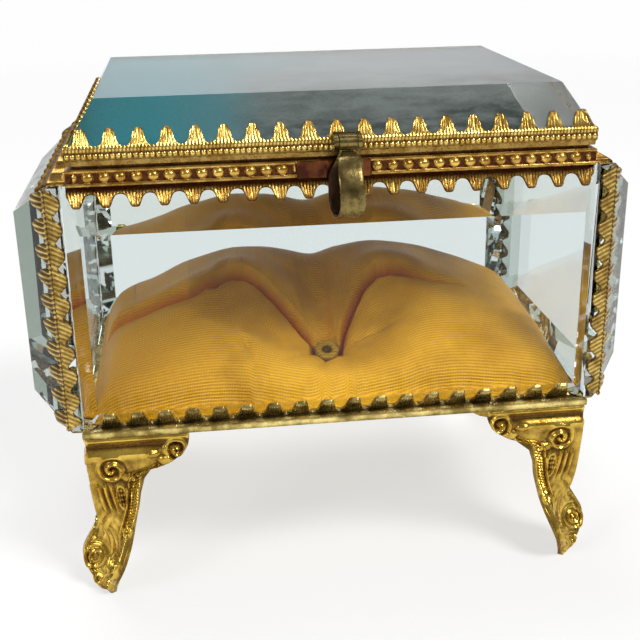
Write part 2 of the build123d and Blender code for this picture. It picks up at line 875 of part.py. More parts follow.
# Clasp: a knuckle on the pin, a tongue, and a strap curled into a drop-shaped loop
with BuildPart() as clasp_loop:
    with BuildSketch(section_plane("front", clasp_x)):
        with BuildLine():
            top = clasp_z - loop_drop
            low = clasp_z - loop_centre_drop
            loop_reach = clasp_reach + loop_centre_out
            back, front = loop_reach - loop_radius, loop_reach + loop_radius
            tongue_back, tongue_front = clasp_reach - loop_strap / 2, clasp_reach + loop_strap / 2
            Line((tongue_front, top), (tongue_back, top))
            Line((tongue_back, top), (back, low))
            ThreePointArc((back, low), (loop_reach, low - loop_radius), (front, low))
            TangentArc((front, low), (tongue_front, top), tangent=(0, 1))
        make_face()
        offset(amount=-loop_strap, mode=Mode.SUBTRACT)
    extrude(amount=loop_half, both=True)
    with BuildSketch(section_plane("front", clasp_x)):
        with Locations((clasp_reach, clasp_z - loop_drop / 2 - loop_strap / 2)):
            Rectangle(loop_strap, loop_drop + loop_strap)
        with Locations((clasp_reach, clasp_z)):
            Circle(clasp_knuckle_radius)
    extrude(amount=clasp_knuckle_half, both=True)
    with BuildSketch(section_plane("front", clasp_x)):
        with Locations((clasp_reach, clasp_z)):
            Circle(clasp_bore)
    extrude(amount=clasp_knuckle_half, both=True, mode=Mode.SUBTRACT)
save(clasp_loop.part, "clasp_loop")
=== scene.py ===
"""Glass casket box: stamped galleries, cast feet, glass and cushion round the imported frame."""

import logging
import math
from dataclasses import dataclass, field
from enum import Enum
from typing import Optional, Sequence, Union

import bmesh
import bpy
import numpy as np
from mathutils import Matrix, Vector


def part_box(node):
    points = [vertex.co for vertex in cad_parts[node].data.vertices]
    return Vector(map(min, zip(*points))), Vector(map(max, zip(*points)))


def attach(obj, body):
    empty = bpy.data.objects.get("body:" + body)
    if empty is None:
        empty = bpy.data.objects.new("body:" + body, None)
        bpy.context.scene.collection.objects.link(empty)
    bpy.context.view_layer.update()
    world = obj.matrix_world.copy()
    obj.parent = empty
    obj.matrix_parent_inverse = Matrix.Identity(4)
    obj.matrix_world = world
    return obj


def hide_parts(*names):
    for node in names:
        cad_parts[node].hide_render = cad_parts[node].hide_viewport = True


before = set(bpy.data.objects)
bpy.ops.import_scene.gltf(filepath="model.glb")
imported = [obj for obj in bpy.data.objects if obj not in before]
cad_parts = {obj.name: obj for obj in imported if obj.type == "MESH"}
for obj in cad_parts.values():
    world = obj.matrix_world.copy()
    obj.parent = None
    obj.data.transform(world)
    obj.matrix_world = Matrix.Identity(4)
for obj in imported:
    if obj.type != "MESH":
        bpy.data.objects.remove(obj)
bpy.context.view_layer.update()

LOG = logging.getLogger("casket")
MM = 0.001  # every size below is in millimetres
RECESS = "recess"  # point attribute: 0 on what is rubbed bright, 1 in the hollows; it carries tarnish and painted shade alike
WEAVE = "weave"  # UV map of the cloth, in metres along and across its ribs
STEP = 0.16  # spacing of the columns of a stamped strip

Array = np.ndarray
Number = Union[float, Array]
Colour = tuple[float, float, float]


# ---------------------------------------------------------------- shapes


def smooth(x: Array, low: float, high: float) -> Array:
    """Smooth step: 0 below low, 1 above high, 3q^2 - 2q^3 between, q = (x - low) / (high - low)."""
    q = np.clip((x - low) / (high - low), 0.0, 1.0)
    return q * q * (3.0 - 2.0 * q)


def hump(x: Array, middle: Number, width: float) -> Array:
    """Bell of height 1: exp(-((x - middle) / width)^2)."""
    return np.exp(-(((x - middle) / width) ** 2))


def dome(x: Array, y: Array, radius_x: float, radius_y: float) -> Array:
    """Half ellipsoid of height 1: sqrt(1 - (x / rx)^2 - (y / ry)^2), and 0 outside it."""
    return np.sqrt(np.clip(1.0 - (x / radius_x) ** 2 - (y / radius_y) ** 2, 0.0, None))


def ribs(x: Array, pitch: float) -> Array:
    """Rounded ridges from 0 to 1: (1 + cos(2 pi x / pitch)) / 2."""
    return 0.5 + 0.5 * np.cos(2.0 * np.pi * x / pitch)


def through(knots: Sequence[float], values: Sequence[float], x: Array) -> Array:
    """Smooth curve through given points: cubic Hermite pieces with finite-difference slopes.

    Args:
        knots: Places of the points, rising.
        values: Heights at those places.
        x: Where the curve is wanted.

    Returns:
        The curve's height at every x, held level beyond the ends.
    """
    k = np.asarray(knots, float)
    v = np.asarray(values, float)
    chord = np.diff(v) / np.diff(k)
    slope = np.concatenate(([chord[0]], (chord[1:] + chord[:-1]) / 2.0, [chord[-1]]))
    x = np.clip(x, k[0], k[-1])
    i = np.clip(np.searchsorted(k, x, side="right") - 1, 0, len(k) - 2)
    h = k[i + 1] - k[i]
    q = (x - k[i]) / h
    return (
        (2 * q**3 - 3 * q**2 + 1) * v[i]
        + (q**3 - 2 * q**2 + q) * h * slope[i]
        + (3 * q**2 - 2 * q**3) * v[i + 1]
        + (q**3 - q**2) * h * slope[i + 1]
    )


def blurred(grid: Array, reach: int) -> Array:
    """Grid averaged three times over squares of 2 reach + 1 points, which nears a bell."""
    width = 2 * reach + 1
    for _ in range(3):
        for axis in (0, 1):
            ends = [(0, 0), (0, 0)]
            ends[axis] = (reach + 1, reach)
            total = np.cumsum(np.pad(grid, ends, mode="edge"), axis=axis)
            size = grid.shape[axis]
            high = np.take(total, range(width, width + size), axis=axis)
            low = np.take(total, range(size), axis=axis)
            grid = (high - low) / width
    return grid


class Side(Enum):
    """The four sides of the case, by the direction that each faces."""

    FRONT = (0.0, -1.0)
    RIGHT = (1.0, 0.0)
    BACK = (0.0, 1.0)
    LEFT = (-1.0, 0.0)

    @property
    def outward(self) -> Array:
        """Unit vector off this side."""
        return np.array([self.value[0], self.value[1], 0.0])

    @property
    def along(self) -> Array:
        """Unit vector along this side, to the right as seen from outside."""
        return np.array([-self.value[1], self.value[0], 0.0])

    @property
    def is_long(self) -> bool:
        """True for the front and the back."""
        return self in (Side.FRONT, Side.BACK)


UP = np.array([0.0, 0.0, 1.0])


class Corner(Enum):
    """The four corners, by the signs of their X and Y from the middle of the case."""

    FRONT_RIGHT = (1.0, -1.0)
    FRONT_LEFT = (-1.0, -1.0)
    BACK_RIGHT = (1.0, 1.0)
    BACK_LEFT = (-1.0, 1.0)


@dataclass
class Surface:
    """Points and faces of one closed body, in millimetres."""

    points: Array
    quads: Array
    caps: list[list[int]]
    recess: Array


def grid_quads(rows: int, columns: int, start: int = 0, closed: bool = False) -> Array:
    """Quads of a grid stored row by row: corner (i, j), (i, j+1), (i+1, j+1), (i+1, j).

    Args:
        rows: Lines of points.
        columns: Points in a line.
        start: Index of the grid's first point.
        closed: Joins the last column to the first.

    Returns:
        Array of point indices, one row for each quad.
    """
    spans = columns if closed else columns - 1
    i, j = np.meshgrid(np.arange(rows - 1), np.arange(spans), indexing="ij")
    right = (j + 1) % columns
    quads = np.stack(
        [i * columns + j, i * columns + right, (i + 1) * columns + right, (i + 1) * columns + j], -1
    )
    return quads.reshape(-1, 4) + start


def bridge(first: Array, second: Array) -> Array:
    """Quads between two lines of points of the same length."""
    return np.stack([first[:-1], first[1:], second[1:], second[:-1]], -1)


def shell(front: Array, back: Array, recess: Array) -> Surface:
    """Closed sheet from its front and back grids, which share their columns.

    Args:
        front: Grid of front points, rows by columns by 3.
        back: Coarser grid of back points in the same order of rows.
        recess: How deep each front point lies, from 0 to 1.

    Returns:
        The closed body: both grids, quads along the two long edges and a cap at each end.
    """
    rows, columns, _ = front.shape
    back_rows = back.shape[0]
    start = rows * columns
    front_index = np.arange(start).reshape(rows, columns)
    back_index = np.arange(back_rows * columns).reshape(back_rows, columns) + start
    quads = np.concatenate(
        [
            grid_quads(rows, columns),
            grid_quads(back_rows, columns, start)[:, ::-1],
            bridge(front_index[0], back_index[0])[:, ::-1],
            bridge(front_index[-1], back_index[-1]),
        ]
    )
    caps = [
        front_index[:, 0].tolist() + back_index[::-1, 0].tolist(),
        front_index[::-1, -1].tolist() + back_index[:, -1].tolist(),
    ]
    points = np.concatenate([front.reshape(-1, 3), back.reshape(-1, 3)])
    depth = np.concatenate([recess.reshape(-1), np.full(back_rows * columns, 0.3)])
    return Surface(points, quads, caps, depth)


def tube(rings: Array, recess: float = 0.0, capped: bool = True) -> Surface:
    """Closed body through rings of points: a grid closed round each ring, with a cap at each end."""
    rows, columns, _ = rings.shape
    caps: list[list[int]] = []
    quads = grid_quads(rows, columns, closed=True)
    if capped:
        caps = [list(range(columns))[::-1], list(range((rows - 1) * columns, rows * columns))]
    else:
        last = np.arange(columns) + (rows - 1) * columns
        first = np.arange(columns)
        seam = np.stack([last, np.roll(last, -1), np.roll(first, -1), first], -1)
        quads = np.concatenate([quads, seam])
    return Surface(rings.reshape(-1, 3), quads, caps, np.full(rows * columns, recess))


def make_piece(
    name: str,
    surfaces: Sequence[Surface],
    material: bpy.types.Material,
    body: str,
    nodes: Sequence[str],
    crease_angle: float = 40.0,
) -> bpy.types.Object:
    """Put closed surfaces into one object, at the origin, and hand it to the frame.

    Args:
        name: Name of the piece.
        surfaces: Closed bodies in millimetres.
        material: Finish of the piece.
        body: CAD body that it rides on.
        nodes: CAD nodes that it stands for.
        crease_angle: Edges sharper than this, in degrees, stay sharp.

    Returns:
        The new object.
    """
    starts = np.cumsum([0] + [len(surface.points) for surface in surfaces])
    points = np.concatenate([surface.points for surface in surfaces]) * MM
    faces: list[list[int]] = []
    for surface, start in zip(surfaces, starts):
        faces += (surface.quads + start).tolist()
        faces += [[int(index + start) for index in cap] for cap in surface.caps]
    mesh = bpy.data.meshes.new(name)
    mesh.from_pydata(points.tolist(), [], faces)
    attribute = mesh.attributes.new(RECESS, "FLOAT", "POINT")
    recess = np.concatenate([surface.recess for surface in surfaces])
    attribute.data.foreach_set("value", recess.astype(np.float32))
    edit = bmesh.new()
    edit.from_mesh(mesh)
    bmesh.ops.recalc_face_normals(edit, faces=edit.faces)
    edit.to_mesh(mesh)
    edit.free()
    mesh.polygons.foreach_set("use_smooth", np.ones(len(mesh.polygons), bool))
    mesh.set_sharp_from_angle(angle=math.radians(crease_angle))
    mesh.materials.append(material)
    piece = bpy.data.objects.new(name, mesh)
    bpy.context.scene.collection.objects.link(piece)
    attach(piece, body)
    if nodes:
        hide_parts(*nodes)
    LOG.info("%s: %d faces on %s", name, len(mesh.polygons), body)
    return piece


# ---------------------------------------------------------------- finishes


class Nodes:
    """Adds and links the shader nodes of one material."""

    def __init__(self, name: str) -> None:
        """Start an empty material."""
        self.material = bpy.data.materials.new(name)
        self.material.use_nodes = True
        self.tree = self.material.node_tree
        self.tree.nodes.clear()

    def add(self, kind: str, inputs: Optional[dict] = None, **settings: object) -> bpy.types.Node:
        """Add a node, link or set its inputs, and set its own options.

        Args:
            kind: Node type without its ShaderNode prefix.
            inputs: Socket names or numbers to values or to other nodes' sockets.
            **settings: Options of the node itself.

        Returns:
            The node.
        """
        node = self.tree.nodes.new("ShaderNode" + kind)
        for key, value in settings.items():
            setattr(node, key, value)
        for key, value in (inputs or {}).items():
            if isinstance(value, bpy.types.NodeSocket):
                self.tree.links.new(value, node.inputs[key])
            elif isinstance(value, tuple) and len(value) == 3 and node.inputs[key].type == "RGBA":
                node.inputs[key].default_value = (*value, 1.0)
            else:
                node.inputs[key].default_value = value
        return node

    def place(self) -> bpy.types.NodeSocket:
        """Object coordinates."""
        return self.add("TexCoord").outputs["Object"]

    def noise(self, vector: bpy.types.NodeSocket, grain: float, detail: float = 3.0) -> bpy.types.NodeSocket:
        """Noise of the given grain in millimetres."""
        node = self.add("TexNoise", {"Vector": vector, "Scale": 1.0 / (grain * MM), "Detail": detail})
        return node.outputs["Fac"]

    def calc(self, operation: str, *values: object) -> bpy.types.NodeSocket:
        """One step of arithmetic on sockets and numbers."""
        inputs = dict(enumerate(values))
        return self.add("Math", inputs, operation=operation).outputs[0]

    def between(self, value: bpy.types.NodeSocket, low: float, high: float, to_low: float = 0.0,
                to_high: float = 1.0) -> bpy.types.NodeSocket:
        """Value stretched from low..high to to_low..to_high, and held at the ends."""
        inputs = {"Value": value, "From Min": low, "From Max": high, "To Min": to_low, "To Max": to_high}
        return self.add("MapRange", inputs).outputs["Result"]

    def blend(self, factor: object, first: object, second: object, how: str = "MIX") -> bpy.types.NodeSocket:
        """Two colours mixed by a factor."""
        node = self.add("Mix", {0: factor}, data_type="RGBA", blend_type=how)
        for socket, value in ((node.inputs[6], first), (node.inputs[7], second)):
            if isinstance(value, bpy.types.NodeSocket):
                self.tree.links.new(value, socket)
            else:
                socket.default_value = (*value, 1.0)
        return node.outputs[2]

    def attribute(self, name: str) -> bpy.types.NodeSocket:
        """A point attribute's number."""
        return self.add("Attribute", attribute_name=name).outputs["Fac"]

    def bump(self, height: bpy.types.NodeSocket, distance: float, strength: float = 1.0) -> bpy.types.NodeSocket:
        """Normal of a relief of that many millimetres."""
        inputs = {"Height": height, "Distance": distance * MM, "Strength": strength}
        return self.add("Bump", inputs).outputs["Normal"]

    def finish(self, shader: bpy.types.NodeSocket) -> bpy.types.Material:
        """Link the last shader to the output."""
        self.add("OutputMaterial", {"Surface": shader})
        return self.material


@dataclass(frozen=True)
class Gilt:
    """Gilt metal, rubbed bright on what stands proud and browned in its hollows by tarnish and painted shade."""

    name: str
    bright: Colour
    worn: Colour
    # tone of the hollows: tarnish together with painted shade
    hollow: Colour
    shine: tuple[float, float] = (0.2, 0.42)  # roughness, least and most
    mottle: float = 2.2  # size of the worn patches
    grain: float = 0.35  # size of the surface grain
    relief: float = 0.02  # depth of that grain
    metal: float = 0.85  # the rest is dull tarnish

    def material(self) -> bpy.types.Material:
        """Noise mixes bright and worn gilt, and the recess attribute brings in the brown: tarnish and painted shade."""
        nodes = Nodes(self.name)
        place = nodes.place()
        patches = nodes.between(nodes.noise(place, self.mottle, 5.0), 0.38, 0.62)
        specks = nodes.between(nodes.noise(place, self.mottle / 6.0, 4.0), 0.5, 0.72)
        recess = nodes.attribute(RECESS)
        # Painted shade with grime: the recess attribute and the dirt specks pull the colour to the hollow tone.
        grime_and_shade = nodes.between(nodes.calc("ADD", recess, nodes.calc("MULTIPLY", specks, 0.25)), 0.25, 1.05)
        colour = nodes.blend(patches, self.bright, self.worn)
        colour = nodes.blend(grime_and_shade, colour, self.hollow)
        rough = nodes.between(nodes.noise(place, self.mottle / 2.0, 4.0), 0.35, 0.65, *self.shine)
        rough = nodes.calc("ADD", rough, nodes.calc("MULTIPLY", grime_and_shade, 0.16))
        normal = nodes.bump(nodes.noise(place, self.grain, 4.0), self.relief)
        inputs = {"Base Color": colour, "Metallic": self.metal, "Roughness": rough, "Normal": normal}
        return nodes.finish(nodes.add("BsdfPrincipled", inputs).outputs[0])


@dataclass(frozen=True)
class BevelledGlass:
    """Clear plate glass with a faint green body and a little dust."""

    name: str
    tint: Colour = (0.83, 0.875, 0.875)
    bevel_shade: Colour = (0.25, 0.32, 0.275)  # painted shade: darker green seen through the bevels
    index: float = 1.5
    sheen: float = 0.3  # how much of a bare face's reflection it keeps
    through: float = 0.94  # how much lamp light gets past it

    def material(self) -> bpy.types.Material:
        """Refracting glass that lets lamps through, with painted shade: darker and greener where no axis meets its face
        squarely.
        """
        nodes = Nodes(self.name)
        facing = nodes.add("VectorMath", {0: nodes.add("TexCoord").outputs["Normal"]}, operation="ABSOLUTE")
        parts = nodes.add("SeparateXYZ", {"Vector": facing.outputs[0]}).outputs
        square = nodes.calc("MAXIMUM", nodes.calc("MAXIMUM", parts["X"], parts["Y"]), parts["Z"])
        smears = nodes.between(nodes.noise(nodes.place(), 9.0, 5.0), 0.52, 0.75, 0.0, 0.045)
        inputs = {
            "Base Color": nodes.blend(nodes.between(square, 0.97, 0.99), self.bevel_shade, self.tint),
            "Roughness": smears,
            "IOR": self.index,
            "Transmission Weight": 1.0,
            "Specular Tint": (self.sheen,) * 3,
        }
        glass = nodes.add("BsdfPrincipled", inputs).outputs[0]
        clear = nodes.add("BsdfTransparent", {"Color": (self.through,) * 3}).outputs[0]
        lamps = nodes.add("LightPath").outputs["Is Shadow Ray"]
        return nodes.finish(nodes.add("MixShader", {0: lamps, 1: glass, 2: clear}).outputs[0])


@dataclass(frozen=True)
class RibbedSilk:
    """Amber silk with fine cross ribs, with painted shade: redder and darker in its creases, near black round the
    button, and darker on the left.
    """

    name: str
    light: Colour = (0.7, 0.355, 0.02)
    deep: Colour = (0.39, 0.175, 0.004)
    # Painted shade: the next colour darkens the creases, and the near black one after it the hollow round and under the
    # button.
    crease_shade: Colour = (0.36, 0.036, 0.0)
    pit: Colour = (0.045, 0.018, 0.002)
    rib_pitch: float = 0.66
    yarn_pitch: float = 0.34

    def wave(self, nodes: Nodes, weave: bpy.types.NodeSocket, pitch: float, axis: str,
             waver: float) -> bpy.types.NodeSocket:
        """Sine bands of that pitch in millimetres, which waver a little."""
        full_turn = 2.0 * math.pi / 20.0  # Blender's band texture turns 20 radians a unit
        inputs = {
            "Vector": weave,
            "Scale": full_turn / (pitch * MM),
            "Distortion": waver,
            "Detail": 2.0,
            "Detail Scale": 0.35,
        }
        return nodes.add("TexWave", inputs, bands_direction=axis).outputs["Fac"]

    def material(self) -> bpy.types.Material:
        """Ribs and yarns give the relief and the fine shade, noise the slubs and the fading, and the X place a painted
        shade that darkens the left side.
        """
        nodes = Nodes(self.name)
        weave = nodes.add("UVMap", uv_map=WEAVE).outputs["UV"]
        place = nodes.place()
        rib = self.wave(nodes, weave, self.rib_pitch, "Y", 2.0)
        yarn = self.wave(nodes, weave, self.yarn_pitch, "X", 2.4)
        slub = nodes.noise(weave, 1.1, 3.0)
        relief = nodes.calc("ADD", rib, nodes.calc("MULTIPLY", yarn, 0.35))
        relief = nodes.calc("ADD", relief, nodes.calc("MULTIPLY", slub, 0.6))
        fade = nodes.between(nodes.noise(place, 16.0, 3.0), 0.35, 0.65)
        # Painted shade: towards the left (negative X) the colour goes to the deep tone, as if lit from the right; the
        # noise before it is random fading.
        east = nodes.add("SeparateXYZ", {"Vector": place}).outputs["X"]
        fade = nodes.calc("MAXIMUM", fade, nodes.between(east, -0.045, 0.0, 1.0, 0.0))
        colour = nodes.blend(fade, self.light, self.deep)
        shade = nodes.between(relief, 0.2, 1.5, 0.64, 1.12)
        tone = nodes.add("CombineColor", {0: shade, 1: shade, 2: shade}).outputs[0]
        colour = nodes.blend(1.0, colour, tone, "MULTIPLY")
        depth = nodes.attribute(RECESS)
        # Painted shade from the recess attribute: the crease colour along the creases, the pit colour round the button.
        colour = nodes.blend(nodes.between(depth, 0.0, 0.7), colour, self.crease_shade)
        colour = nodes.blend(nodes.between(depth, 0.72, 1.0), colour, self.pit)
        inputs = {
            "Base Color": colour,
            "Roughness": nodes.between(slub, 0.3, 0.7, 0.34, 0.5),
            "Specular Tint": (1.0, 0.55, 0.08),
            "Sheen Weight": 0.04,
            "Sheen Roughness": 0.35,
            "Sheen Tint": (1.0, 0.7, 0.2),
            "Normal": nodes.bump(relief, 0.1),
        }
        return nodes.finish(nodes.add("BsdfPrincipled", inputs).outputs[0])


@dataclass(frozen=True)
class LakeView:
    """Plain printed view of a lake and hills, on tan paper."""

    name: str
    underside: float  # height of the sheet's middle, so that its back stays bare paper
    sky_left: Colour = (0.002, 0.115, 0.14)
    sky_right: Colour = (0.1, 0.11, 0.115)
    hill: Colour = (0.012, 0.018, 0.016)
    mist: Colour = (0.17, 0.175, 0.17)
    paper: Colour = (0.66, 0.4, 0.13)

    def material(self) -> bpy.types.Material:
        """Sky by X, three ridge lines y = a + b sin(c x) + noise, mist between and paper below."""
        nodes = Nodes(self.name)
        place = nodes.place()
        axes = nodes.add("SeparateXYZ", {"Vector": place}).outputs
        x, y, z = axes["X"], axes["Y"], axes["Z"]
        colour = nodes.blend(nodes.between(x, -0.035, 0.01), self.sky_left, self.sky_right)
        clouds = nodes.between(nodes.noise(place, 11.0, 6.0), 0.5, 0.7, 0.0, 0.75)
        clouds = nodes.calc("MULTIPLY", clouds, nodes.between(x, -0.025, 0.01))
        colour = nodes.blend(clouds, colour, self.mist)
        rough = nodes.noise(place, 5.0, 7.0)
        for level, swing, shift, tone in ((0.013, 0.006, 0.4, 0.55), (0.003, 0.005, 2.1, 0.3), (-0.010, 0.004, 4.0, 0.0)):
            wave = nodes.calc("SINE", nodes.calc("MULTIPLY_ADD", x, 95.0, shift))
            ridge = nodes.calc("MULTIPLY_ADD", wave, swing, level)
            ridge = nodes.calc("MULTIPLY_ADD", nodes.calc("SUBTRACT", rough, 0.5), 0.016, ridge)
            under = nodes.between(nodes.calc("SUBTRACT", ridge, y), -0.0004, 0.0004)
            under = nodes.calc("MULTIPLY", under, nodes.between(x, -0.02, -0.004))
            near = nodes.blend(tone, self.hill, self.mist)
            body = nodes.blend(nodes.between(rough, 0.4, 0.62, 0.0, 0.5), near, self.mist)
            colour = nodes.blend(under, colour, body)
        fibre = nodes.between(nodes.noise(place, 0.8, 4.0), 0.3, 0.7, 0.85, 1.05)
        tone = nodes.add("CombineColor", {0: fibre, 1: fibre, 2: fibre}).outputs[0]
        back = nodes.blend(1.0, self.paper, tone, "MULTIPLY")
        face = nodes.calc("GREATER_THAN", z, self.underside * MM)
        colour = nodes.blend(face, back, colour)
        inputs = {"Base Color": colour, "Roughness": nodes.between(fibre, 0.85, 1.05, 0.45, 0.6)}
        return nodes.finish(nodes.add("BsdfPrincipled", inputs).outputs[0])


@dataclass(frozen=True)
class Card:
    """Grey-brown card or cord, with short fibres."""

    name: str
    light: Colour = (0.42, 0.33, 0.2)
    dark: Colour = (0.28, 0.2, 0.11)
    grain: float = 0.5

    def material(self) -> bpy.types.Material:
        """Two tones mixed by noise, which also roughens the surface."""
        nodes = Nodes(self.name)
        fibre = nodes.noise(nodes.place(), self.grain, 5.0)
        inputs = {
            "Base Color": nodes.blend(nodes.between(fibre, 0.35, 0.65), self.light, self.dark),
            "Roughness": nodes.between(fibre, 0.3, 0.7, 0.75, 0.95),
            "Normal": nodes.bump(fibre, 0.05),
        }
        return nodes.finish(nodes.add("BsdfPrincipled", inputs).outputs[0])


# ---------------------------------------------------------------- the case


@dataclass(frozen=True)
class Places:
    """Heights and the middle of the case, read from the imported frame, in millimetres."""

    case_y: float
    base: float
    pane_bottom: float
    pane_top: float
    rim_top: float
    lid_bottom: float
    lid_bevel: float
    picture_middle: float

    @staticmethod
    def box(node: str) -> tuple[Array, Array]:
        """Lowest and highest corner of a CAD node, in millimetres."""
        low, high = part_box(node)
        return np.array(low) / MM, np.array(high) / MM

    @classmethod
    def read(cls) -> "Places":
        """Take the places from the boxes of the plates and panes."""
        glass_low, glass_high = cls.box("lid_glass")
        pane_low, pane_high = cls.box("glass_front")
        picture_low, picture_high = cls.box("lid_picture")
        return cls(
            case_y=float(glass_low[1] + glass_high[1]) / 2.0,
            base=float(cls.box("base_plate")[0][2]),
            pane_bottom=float(pane_low[2]),
            pane_top=float(pane_high[2]),
            rim_top=float(cls.box("rim_left")[1][2]),
            lid_bottom=float(cls.box("lid_trim_left")[0][2]),
            lid_bevel=float(glass_low[2]) + 2.1,
            picture_middle=float(picture_low[2] + picture_high[2]) / 2.0,
        )

    @property
    def centre(self) -> Array:
        """Middle of the case on the table."""
        return np.array([0.0, self.case_y, 0.0])


@dataclass(frozen=True)
class Bevel:
    """A bevel that a leaf lies on: its edge, and its rise outwards and run upwards."""

    reach: float
    height: float
    rise: float
    run: float

    @property
    def slope(self) -> Array:
        """Unit vector up the bevel, as outward and upward parts."""
        vector = np.array([self.rise, self.run])
        return vector / np.linalg.norm(vector)

    @property
    def normal(self) -> Array:
        """Unit vector off the bevel, which leans outwards."""
        slope = self.slope
        off = np.array([1.0, 0.0]) - slope * slope[0]
        return off / np.linalg.norm(off)


@dataclass(frozen=True)
class Teeth:
    """A row of ribbed teeth on a leaf."""

    last: float  # middle of the last tooth
    pitch: float
    valley: float
    tip: float
    half: float = 1.22  # half width at half height
    square: float = 5.0  # how square the head is
    dip: float = 0.45
    ribs_per_pitch: int = 8
    rib_depth: float = 0.16
    swell: float = 0.22
    grime_and_shade: float = 0.85  # how hollow the grooves between its ribs are, browned with grime and painted shade

    def offset(self, along: Array) -> Array:
        """Distance from the middle of the nearest tooth."""
        count = round(2.0 * self.last / self.pitch)
        step = 2.0 * self.last / count
        nearest = np.clip(np.round((along + self.last) / step), 0, count)
        return along - (nearest * step - self.last)

    def outline(self, along: Array) -> Array:
        """Far edge of the leaf: low + (tip - low) / (1 + |x / half|^square)."""
        low = self.valley - self.dip
        return low + (self.tip - low) / (1.0 + np.abs(self.offset(along) / self.half) ** self.square)

    def relief(self, along: Array, up: Array) -> Array:
        """Ribs that draw together towards the tip, from 0 to 1."""
        fan = 1.0 + 0.32 * smooth(up, 0.0, self.tip)
        return ribs(self.offset(along) * fan, self.pitch / self.ribs_per_pitch)


@dataclass
class Strip:
    """A bent sheet built from lines of points that run along it.

    A line has a place (outward, upward), a normal, a lift along that normal, and the
    furthest that it runs along the side.
    """

    along: Array
    thickness: float
    mitre: Optional[tuple[float, float]] = None  # half length and reach of the mitred corner
    lines: list[tuple] = field(default_factory=list)

    def add(self, out: Number, up: Number, normal: Sequence[float], lift: Number = 0.0,
            recess: Number = 0.5, limit: float = math.inf, inner: bool = False) -> None:
        """Add one line of points.

        Args:
            out: Distance outwards, one number or one for each column.
            up: Height, likewise.
            normal: Outward and upward parts of the direction that lift goes in.
            lift: Relief along the normal.
            recess: How hollow each point is, from 0 to 1.
            limit: Furthest column from the middle.
            inner: True if the back of the sheet has a line here too.
        """
        size = self.along.shape
        row = [np.broadcast_to(np.asarray(value, float), size) for value in (out, up, lift, recess)]
        self.lines.append((*row, np.asarray(normal, float), limit, inner))

    def squeeze(self, out: Array, limit: float) -> Array:
        """Columns beyond a line's limit, or past the mitre, are drawn in to it."""
        furthest = np.full(self.along.shape, limit)
        if self.mitre:
            half, reach = self.mitre
            furthest = np.minimum(furthest, half - 0.02 - (reach - out))
        end = np.abs(self.along).max()
        soft = np.minimum(furthest, end) - 0.3
        size = np.abs(self.along)
        share = np.clip((size - soft) / (end - soft), 0.0, 1.0)
        drawn = soft + (np.minimum(furthest, end) - soft) * share
        return np.sign(self.along) * np.where(size > soft, drawn, size)

    def surface(self, origin: Array, along: Array, outward: Array, upward: Array) -> Surface:
        """Stand the strip in place: origin + s along + out outward + up upward."""
        front, back, recess = [], [], []
        for out, up, lift, hollow, normal, limit, inner in self.lines:
            face_out, face_up = out + normal[0] * lift, up + normal[1] * lift
            columns = self.squeeze(face_out, limit)
            front.append(np.outer(columns, along) + np.outer(face_out, outward) + np.outer(face_up, upward))
            recess.append(hollow)
            if inner:
                back_out = out - normal[0] * self.thickness
                back_up = up - normal[1] * self.thickness
                back.append(
                    np.outer(columns, along) + np.outer(back_out, outward) + np.outer(back_up, upward)
                )
        return shell(np.array(front) + origin, np.array(back) + origin, np.array(recess))


def columns(half: float, step: float = STEP) -> Array:
    """Evenly spaced places from -half to half."""
    return np.linspace(-half, half, 2 * math.ceil(half / step) + 1)


def add_leaf(strip: Strip, bevel: Bevel, teeth: Teeth, root: float, gap: float = 0.1,
             limit: float = math.inf, lines: int = 13, plain: float = 0.5) -> None:
    """Add the toothed leaf that lies on a bevel, from its root out to the teeth.

    Args:
        strip: Strip to add to.
        bevel: The bevel under the leaf.
        teeth: Outline and ribs.
        root: Where the leaf starts, along the slope.
        gap: Air between the glass and the leaf.
        limit: Furthest column.
        lines: Lines of points up the leaf.
        plain: Length at the root that has no ribs.
    """
    base = np.array([bevel.reach, bevel.height]) + bevel.normal * (gap + strip.thickness)
    edge = teeth.outline(strip.along)
    offset = teeth.offset(strip.along)
    shares = np.concatenate([np.linspace(0.0, 0.9, lines - 2), [0.965, 1.0]])
    for place, share in enumerate(shares):
        up = root + (edge - root) * share
        rib = teeth.relief(strip.along, up)
        raised = smooth(up, root + plain - 0.3, root + plain + 0.3) * (1.0 - smooth(np.full_like(up, share), 0.86, 1.0))
        belly = hump(offset, 0.0, teeth.half) * smooth(up, teeth.valley - 0.4, teeth.tip)
        rolled = 0.75 * strip.thickness * smooth(np.full_like(up, share), 0.86, 1.0) ** 2
        lift = teeth.rib_depth * (rib - 0.6) * raised + teeth.swell * belly - rolled
        recess = np.clip(teeth.grime_and_shade * (1.0 - rib * raised) + 0.15 * (1.0 - raised), 0.0, 1.0)
        strip.add(
            base[0] + bevel.slope[0] * up,
            base[1] + bevel.slope[1] * up,
            bevel.normal,
            lift,
            recess,
            limit,
            inner=place in (0, len(shares) - 1),
        )


